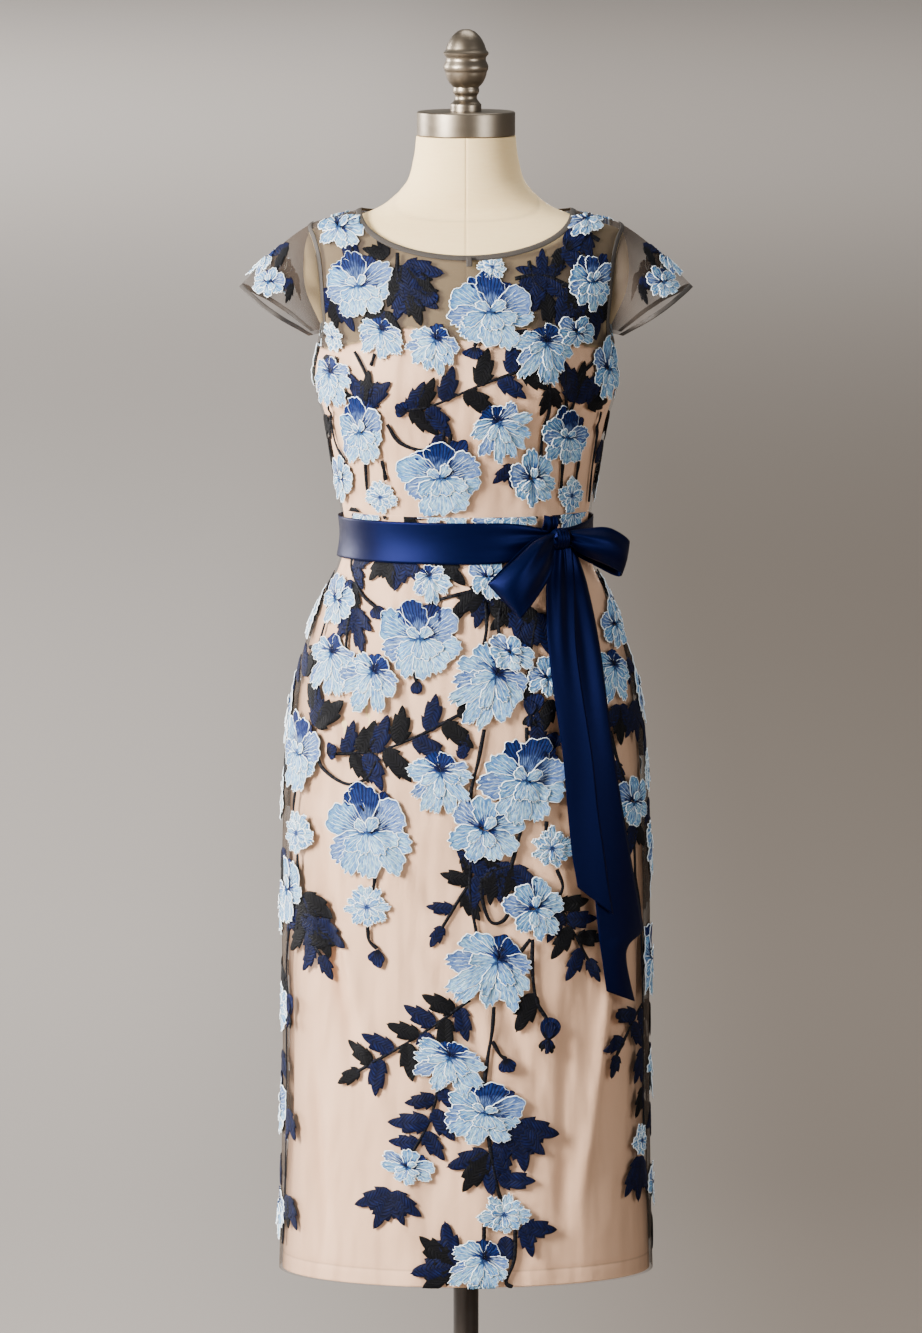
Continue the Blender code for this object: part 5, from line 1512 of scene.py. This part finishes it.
def petal_shapes(petals, width, height, angle):
    """Petals of one flower in its own plane: points and heights in metres, tints, stitch coordinates, marks.

    Rings of points, drawn in from each outline, give it a raised pale cord and a puffed middle.
    """
    table = np.array([each[:8] for each in petals], float) / (100, 100, 1, 100, 100, 1, 100, 1)
    start_x, start_y, lean, length, wide, teeth, tooth, level = table.T[:, :, None]
    n = len(petals)
    length = length * RNG.uniform(0.90, 1.10, (n, 1))
    wide = wide * RNG.uniform(0.90, 1.12, (n, 1))
    lean = lean + RNG.uniform(-7, 7, (n, 1))
    x, y, phase, rise = petal_outlines(length, wide, teeth, tooth)
    middle, size = PETAL_MIDDLE * length, 0.25 * (width + height)
    reach = np.hypot(x, y - middle) * size
    insets = [np.clip(1 - inset / reach, 0.3, 1) for inset in CORD]
    ring = np.stack([np.ones_like(reach), *insets, np.full_like(reach, 0.5), np.zeros_like(reach)], axis=1)
    x, y = x[:, None] * ring, middle[:, None] + (y - middle)[:, None] * ring
    length, level, phase, rise = length[:, None], level[:, None], phase[:, None], rise[:, None]

    tip = np.clip(y / length, 0, 1)
    lift = 0.0002 + 0.00034 * level + (0.0005 + 0.0001 * level) * tip**2
    up = lift + RAISED[None, :, None] + 0.0003 * np.sin(7 * phase + 3 * level) * tip
    leant_x, leant_y = turned(x, y, lean[:, None])
    across, along_up = turned((start_x[:, None] + leant_x) * PETAL_SHARE * width,
                              (start_y[:, None] + leant_y) * PETAL_SHARE * height, angle)

    tint, dark = petal_tints(petals, tip, phase[:, 0])
    shift = RNG.uniform(0, 60, (n, 1, 1))
    fan = np.arctan2(x, np.maximum(y, 0) + 0.22 * length) * 1000 * size * length
    stitch = np.stack([1.3 * fan + shift, np.hypot(x, y) * size * 1000 + shift], axis=-1)
    plain = dark | np.array([each[8] == "blue" for each in petals])[:, None, None]
    marks = np.where(plain, PLAIN_WORK, INNER[None, :, None] * np.clip(3.3 * tip, 0, 1))
    marks[:, :len(CORD)] = np.where(dark, PLAIN_WORK, -smooth_step(rise, 0.10, 0.30))
    return across, along_up, up, tint, stitch, marks


def petal_faces(n):
    """Quads between the rings of each petal; its last ring is one point many times over, met by triangles."""
    ring = np.arange(ROUND)
    after = (ring + 1) % ROUND
    quads = np.concatenate([
        np.stack([k + ring, k + after, k + ROUND + after, k + ROUND + ring], -1)
        for k in range(0, (PETAL_RINGS - 1) * ROUND, ROUND)
    ])
    tris = np.stack([ring, after, np.full(ROUND, ROUND)], -1) + (PETAL_RINGS - 1) * ROUND
    shift = np.arange(n)[:, None, None] * ((PETAL_RINGS + 1) * ROUND)
    return (quads[None] + shift).reshape(-1, 4), (tris[None] + shift).reshape(-1, 3)


def leaf_shape(length, width, tone, bend):
    """One leaf in its own plane, base at the origin and pointing up, with a raised rib and edges.

    Its half width is a sine of the share along it, cut into lobes that grow forward and end in a point.
    """
    steps, lobes = 19, 2.9
    t = np.linspace(0, 1, steps)[:, None]
    s = np.array([-1, -0.84, -0.5, 0, 0.5, 0.84, 1])[None, :]
    tooth = (lobes * t + RNG.uniform(0, 0.3)) % 1
    cut = 1 - 0.36 * (1 - tooth) * smooth_step(t, 0.04, 0.2)
    half = 0.54 * width * np.sin(np.pi * t**0.72) ** 0.9 * (1 - 0.25 * t) * cut
    x = half * s + bend * length * t**2
    y = length * t + 0.10 * length * s**2 * tooth * np.sin(np.pi * t)
    rim = smooth_step(np.sin(np.pi * t), 0, 0.25)
    up = np.array([-0.0003, 0.0006, 0.0002, 0.0008, 0.0002, 0.0006, -0.0003])[None, :] * rim
    up = up + 0.0002 + 0.0002 * np.sin(np.pi * t) + 0 * s
    colour = TONES[tone] * RNG.uniform(0.8, 1.25)
    dark = 0.40 * colour
    across = np.array([1, 0.8, 0, 0.9, 0, 0.8, 1])[None, :, None]
    tint = colour + (dark - colour) * across * np.ones((steps, 1, 1))
    vein = np.array([0, 0.5, 0.6, 0.0, 0.6, 0.5, 0])[None, :, None] * (tooth[..., None] > 0.72)
    tint = tint + (dark - tint) * vein
    stitch = np.stack([(y + 1.2 * np.abs(x)) * 1000, x * 1000], axis=-1)
    return x + 0 * y, y, up, tint, stitch


def smooth_path(places, steps):
    """Catmull-Rom curve through a few places, as an array of points."""
    places = np.array(places, float)
    knots = np.vstack([2 * places[0] - places[1], places, 2 * places[-1] - places[-2]])
    value = np.linspace(0, len(places) - 1 - 1e-6, steps)
    i = value.astype(int)
    t = (value - i)[:, None]
    a, b, c, d = knots[i], knots[i + 1], knots[i + 2], knots[i + 3]
    square, cube = 2 * a - 5 * b + 4 * c - d, 3 * b - a - 3 * c + d
    return 0.5 * (2 * b + (c - a) * t + square * t**2 + cube * t**3)


def lay_leaf(work, lay, x, up, angle, length, tone, bend):
    leaf_x, leaf_y, out, tint, stitch = leaf_shape(length, 0.62 * length, tone, bend)
    across, level = turned(leaf_x, leaf_y, angle)
    points = lay.flat(x, up, across, level, out + RNG.uniform(0.0002, 0.0006))
    work.add(points, grid_quads(*leaf_x.shape), tint, stitch, PLAIN_WORK)


def lay_stem(work, lay, places, leaf, tones):
    """A half-round cord along a curve; a leafy one carries leaves by turns on its two sides."""
    steps = 7 * len(places)
    x, up = smooth_path(places, steps).T
    section = np.radians([0, 45, 90, 135, 180])
    radius = (0.0015 if leaf else 0.0019) + 0.0003 * np.sin(np.linspace(0, 9, steps))[:, None]
    # Painted shading: the cord is lighter along its crown and darker at its sides.
    tint = TONES["stem"] * (1 + 0.5 * np.sin(section))[None, :, None] * np.ones((steps, 1, 1))
    stitch = np.stack(np.broadcast_arrays(np.arange(steps)[:, None] * 2.0, section[None, :] * 2), -1)
    work.add(lay.cord(x, up, radius, section), grid_quads(steps, 5), tint, stitch, PLAIN_WORK)
    if not leaf:
        return
    length = np.hypot(np.diff(x), np.diff(up)).sum()
    last = 2 * max(2, int(round(length / (0.80 * leaf))))
    for k in range(last + 1):
        share = 0.10 + 0.88 * k / last
        i = min(int(share * (steps - 1)), steps - 2)
        heading = np.degrees(np.arctan2(x[i + 1] - x[i], up[i + 1] - up[i]))
        side = 0 if k == last else (1 if k % 2 else -1)
        size = leaf * (0.90 + 0.26 * np.sin(np.pi * share)) * RNG.uniform(0.9, 1.12)
        lay_leaf(work, lay, x[i], up[i], heading + side * RNG.uniform(42, 60), size,
                 tones[(k + k // 2) % len(tones)], 0.12 * side)


def lay_spray(work, lay, x, up, angle, leaf, count, spread, tones):
    for k in range(count):
        off = 0 if count == 1 else spread * (k / (count - 1) - 0.5)
        lay_leaf(work, lay, x, up, angle + off + RNG.uniform(-5, 5), leaf * RNG.uniform(0.98, 1.20),
                 tones[k % len(tones)], 0.10 * np.sign(off))


def lay_flower(work, lay, below, x, up, kind, width, height, angle):
    petals = KINDS[kind]
    across, level, out, tint, stitch, inner = petal_shapes(petals, width, height, angle)
    quads, tris = petal_faces(len(petals))
    points = lay.flat(x, up, across, level, out + FLOWER_OUT + LAYER_OUT * below)
    work.add(points, quads, tint, stitch, inner, tris)


def embroider(work, lay, flowers, sprays, stems=()):
    """Lays stems first, then leaves, then flowers over them, one that meets an earlier one on top of it."""
    for leaf, tones, *places in stems:
        lay_stem(work, lay, np.array(places) / lay.units, leaf / 1000, tones.split())
    for x, up, angle, leaf, count, spread, tones in sprays:
        x, up = x / lay.units[0], up / lay.units[1]
        lay_spray(work, lay, x, up, angle, leaf / 1000, count, spread, tones.split())
    laid = []
    for x, up, kind, width, height, angle in flowers:
        x, up, width, height = x / lay.units[0], up / lay.units[1], width / 1000, height / 1000
        place, reach = np.array((x, up)) * lay.scale, 0.22 * (width + height)
        under = [each[2] for each in laid if np.hypot(*(place - each[0])) < 0.85 * (reach + each[1])]
        below = min(2, 1 + max(under)) if under else 0
        laid.append((place, reach, below))
        lay_flower(work, lay, below, x, up, kind, width, height, angle)


# How far work stays clear of the zip's middle, and how far out its lowest points lie from the net
ZIP_CLEAR = ZIP_HALF + 0.0012
FLAT = 0.0002


class Layout:
    """Places work on the overlay, between two heights, in front or, the same design again, behind.

    across is measured from the centre front or the centre back, towards the right of whoever faces it. The
    two numbers of a place in a list are divided by units, and scale turns them into metres on the cloth.
    """

    units = (1000, 1000)
    scale = (1.0, 1.0)

    def __init__(self, low, high, back=False):
        self.low, self.high, self.back = low, high, back

    def turn(self, across, height, side):
        if not self.back:
            return turn_at(across, height)
        clear = np.maximum(side * across, ZIP_CLEAR)
        return -side * turn_at(half_round(height) - clear, height)

    def surface(self, across, height, out, side):
        """Points at a distance out from the net, held inside the piece's edges, where they lie flat."""
        face = "back" if self.back else "front"
        wanted = height
        height = np.clip(height, self.low, self.high)
        turn = self.turn(across, height, side)
        x = along(HALF_WIDTH, row_at(height)) * np.sin(np.radians(turn))
        low_neck = BACK_NECK if self.back else FRONT_NECK
        rise = 1 - np.sqrt(1 - np.clip(np.abs(x) / NECK_HALF_WIDTH, 0, 1) ** 2)
        height = np.minimum(height, low_neck + (NECK_POINT - low_neck) * rise - NECK_BINDING)
        share = (row_at(height) - row_at(UNDERARM)) / (row_at(SHOULDER_TIP) - row_at(UNDERARM))
        from_middle = 180 - np.abs(turn) if self.back else np.abs(turn)
        limit = np.where(share > 0, 90 - armhole_angle(face, COLUMNS, share) - 2.2, 180)
        at_side = from_middle > 77
        height = np.where(at_side, np.minimum(height, UNDERARM - ARM_BINDING), height)
        kept = np.where(at_side, from_middle, np.minimum(from_middle, limit))
        turn = np.sign(turn) * (180 - kept if self.back else kept)
        cut = np.abs(wanted - height) + (from_middle - kept) * METRES_PER_DEGREE
        clear_of_belt = smooth_step(np.abs(height - BELT_MIDDLE), 0.019, 0.034)
        kept_out = (0.22 + 0.78 * clear_of_belt) * (1 - smooth_step(cut, 0, 0.0008))
        out = FLAT + (out - FLAT) * kept_out
        return moved(turn, row_at(height), overlay_out(turn, height) + out)

    def flat(self, x, up, across, level, out):
        start, height = on_cloth(x, up)
        return self.surface(start + across, height + level, out, 1.0 if start >= 0 else -1.0)

    def cord(self, x, up, radius, section):
        start, height = on_cloth(x, up)
        way = unit(np.stack([np.gradient(start), np.gradient(height)], -1))
        off = radius * np.cos(section)[None, :]
        out = radius * np.sin(section)[None, :] * 0.7 + FLAT
        return self.surface(start[:, None] - way[:, 1:] * off, height[:, None] + way[:, :1] * off, out,
                            1.0 if start[0] >= 0 else -1.0)


class SideLayout(Layout):
    """Places work by its turn, in degrees, and its true height, for the two sides."""

    units = (1, 1000)
    scale = (METRES_PER_DEGREE, 1.0)

    def flat(self, turn, height, across, level, out):
        return self.surface(across_at(turn, height) + across, height + level, out, 1.0)


class SleeveLayout:
    """Places work on the left sleeve: the anchor is a place round the armhole and a reach to the hem."""

    units = (100, 100)
    scale = (ARMHOLE_HALF_WAY, SLEEVE_REACH)

    def flat(self, place, reach, across, level, out):
        step = 0.01
        round_it = np.linalg.norm(sleeve_place(place + step, reach) - sleeve_place(place, reach)) / step
        down_it = np.linalg.norm(sleeve_place(place, reach + step) - sleeve_place(place, reach)) / step
        place = np.clip(place + across / round_it, -0.97, 0.97)
        reach = np.clip(reach - level / down_it, 0.02, 0.92)
        around = sleeve_place(place + step, reach) - sleeve_place(place - step, reach)
        down = sleeve_place(place, reach + step) - sleeve_place(place, reach - step)
        return sleeve_place(place, reach) + unit(np.cross(down, around)) * out[..., None]


def side_of(item):
    """Whether an item starts at the left or the right of the middle: an anchor or a stem's first place."""
    x = item[2][0] if isinstance(item[2], tuple) else item[0]
    return "right" if x >= 0 else "left"


# Embroidered strips: name, the height below and above which nothing is laid, flowers, sprays and stems
REGIONS = (
    ("bodice", WAIST_SEAM + 0.0006, NECK_POINT - 0.002, BODICE_FLOWERS, BODICE_SPRAYS, BODICE_STEMS),
    ("waistband", BAND_BOTTOM + 0.0006, WAIST_SEAM - 0.0006, BAND_FLOWERS, BAND_SPRAYS, BAND_STEMS),
    ("skirt", HEM + 0.0004, BAND_BOTTOM - 0.0004, SKIRT_FLOWERS, SKIRT_SPRAYS, SKIRT_STEMS),
)


def embroidery():
    """The work on each piece of net: the back has the front's, apart from what would cross the zip."""
    def laid(name, net, lay, kinds, mirror=False):
        work = Stitchwork()
        embroider(work, lay, *kinds)
        work.finish("embroidery_" + name, net, mirror)

    for region, low, high, *kinds in REGIONS:
        laid(region + "_front", "net_%s_front" % region, Layout(low, high), kinds)
        for side in ("left", "right"):
            chosen = [[item for item in kind if side_of(item) != side] for kind in kinds]
            laid("%s_back_%s" % (region, side), "net_%s_back_%s" % (region, side),
                 Layout(low, high, back=True), chosen)
    for side, *kinds in SIDE_WORK:
        laid("skirt_side_" + side, "net_skirt_front", SideLayout(*REGIONS[-1][1:3]), kinds)
    for side in ("left", "right"):
        laid("sleeve_" + side, "net_sleeve_" + side, SleeveLayout(), (SLEEVE_FLOWERS, SLEEVE_SPRAYS),
             mirror=side == "right")


# Stage

FLOOR_RADIUS = 90.0
VIEW_FROM, VIEW_AT = (-0.005, -9.44, 2.02), (-0.005, 0.0, 0.9445)
VIEW_LENS = 256.0
WHITE, DAYLIGHT = (1.0, 1.0, 1.0), (1.0, 0.985, 0.97)


def pale_floor():
    """A wide round pale plaster floor, with painted shade to the wearer's left and a painted shadow near the
    stand.
    """
    finish = Finish("pale_floor", Roughness=0.9, Specular_IOR_Level=0.1)
    across, away = finish.axis(finish.place(), 0), finish.axis(finish.place(), 1)
    # Painted shade: darker towards the wearer's left, less so far back.
    shaded = across.step(-0.55, 0.5) * (1 - 0.6 * away.step(8.0, 24.0))
    shaded_plaster = finish.mix(shaded, srgb(202, 194, 187), srgb(136, 126, 116))
    # Painted shadow: darker from about five metres behind the stand forward.
    near = 0.46 * (1 - away.step(0.5, 5.0))
    finish.set("Base Color", finish.mix(near, shaded_plaster, srgb(90, 86, 82), "MULTIPLY"))
    angle = np.linspace(0, 2 * np.pi, 96, endpoint=False)
    mesh = bpy.data.meshes.new("floor")
    rim = FLOOR_RADIUS * np.stack([np.cos(angle), np.sin(angle), 0 * angle], -1)
    mesh.from_pydata(rim.tolist(), [], [list(range(len(rim)))])
    mesh.materials.append(finish.material)
    floor = bpy.data.objects.new("floor", mesh)
    bpy.context.scene.collection.objects.link(floor)


def softbox(name, place, aim, size, watts, colour=WHITE, beam=False, shine_only=False):
    """A rectangular light aimed at a place. A beam is narrow, and metal doesn't mirror it."""
    light = bpy.data.lights.new(name, "AREA")
    light.shape = "RECTANGLE"
    light.size, light.size_y = size
    light.energy = watts
    light.color = colour
    light.spread = np.radians(60 if beam else 180)
    lamp = bpy.data.objects.new(name, light)
    lamp.location = place
    lamp.rotation_euler = (Vector(aim) - Vector(place)).to_track_quat("-Z", "Y").to_euler()
    lamp.visible_diffuse = not shine_only
    lamp.visible_glossy = not beam
    lamp.visible_camera = False
    bpy.context.scene.collection.objects.link(lamp)


def studio():
    """The floor, a dim even room light and the lamps."""
    pale_floor()
    world = bpy.data.worlds.new("soft_room")
    world.use_nodes = True
    background = world.node_tree.nodes["Background"]
    background.inputs["Color"].default_value = (1.0, 0.99, 0.975, 1.0)
    background.inputs["Strength"].default_value = 0.19
    bpy.context.scene.world = world
    softbox("key", (-2.9, -2.3, 2.3), (0, 0, 1.0), (1.3, 1.7), 588, (1.0, 0.975, 0.94))
    softbox("fill", (2.8, -2.6, 1.8), (0, 0, 0.9), (1.8, 2.0), 46, (0.97, 0.985, 1.0))
    softbox("top", (0.2, 0.6, 3.6), (0, 0, 1.2), (1.8, 1.4), 40)
    softbox("sheen", (2.5, -2.9, 1.6), (0.1, 0, 1.0), (0.8, 1.3), 42, shine_only=True)
    softbox("back", (0.8, 3.4, 1.5), (0, 0, 1.0), (1.4, 1.6), 20, (1.0, 0.99, 0.98), beam=True)
    softbox("floor_near", (-10.0, 6.0, 3.0), (-3.5, 8.5, 0.0), (6.0, 4.0), 3000, DAYLIGHT)
    softbox("floor_far", (-14.0, 26.0, 9.0), (-7.0, 32.0, 0.0), (12.0, 8.0), 6200, DAYLIGHT)
    for i, (x, y) in enumerate(((7.5, 0), (-7.5, 0), (0, -7.5))):
        softbox("floor_other_%d" % i, (x, y, 4), (1.4 * x, 1.4 * y, 0), (10, 8), 1300, DAYLIGHT)


def camera():
    """Looks at the front from a little above, far enough back for an even view."""
    lens = bpy.data.cameras.new("view")
    lens.sensor_fit = "AUTO"
    lens.sensor_width = 36.0
    lens.lens = VIEW_LENS
    lens.clip_end = 200.0
    seen_from = bpy.data.objects.new("view", lens)
    seen_from.location = VIEW_FROM
    aim = Vector(VIEW_AT) - Vector(VIEW_FROM)
    seen_from.rotation_euler = aim.to_track_quat("-Z", "Y").to_euler()
    bpy.context.scene.collection.objects.link(seen_from)
    bpy.context.scene.camera = seen_from


def build():
    form()
    stand()
    skirt()
    lining_bodice()
    net_bodice()
    sleeves()
    bindings()
    neck_tab()
    belt()
    knot()
    bow_loop("bow_loop_front")
    bow_loop("bow_loop_side")
    tail("bow_tail_short", SHORT_TAIL, 0.015, 0.6)
    tail("bow_tail_long", LONG_TAIL, 0.007, 2.4)
    zip_parts()
    embroidery()
    studio()
    camera()


build()
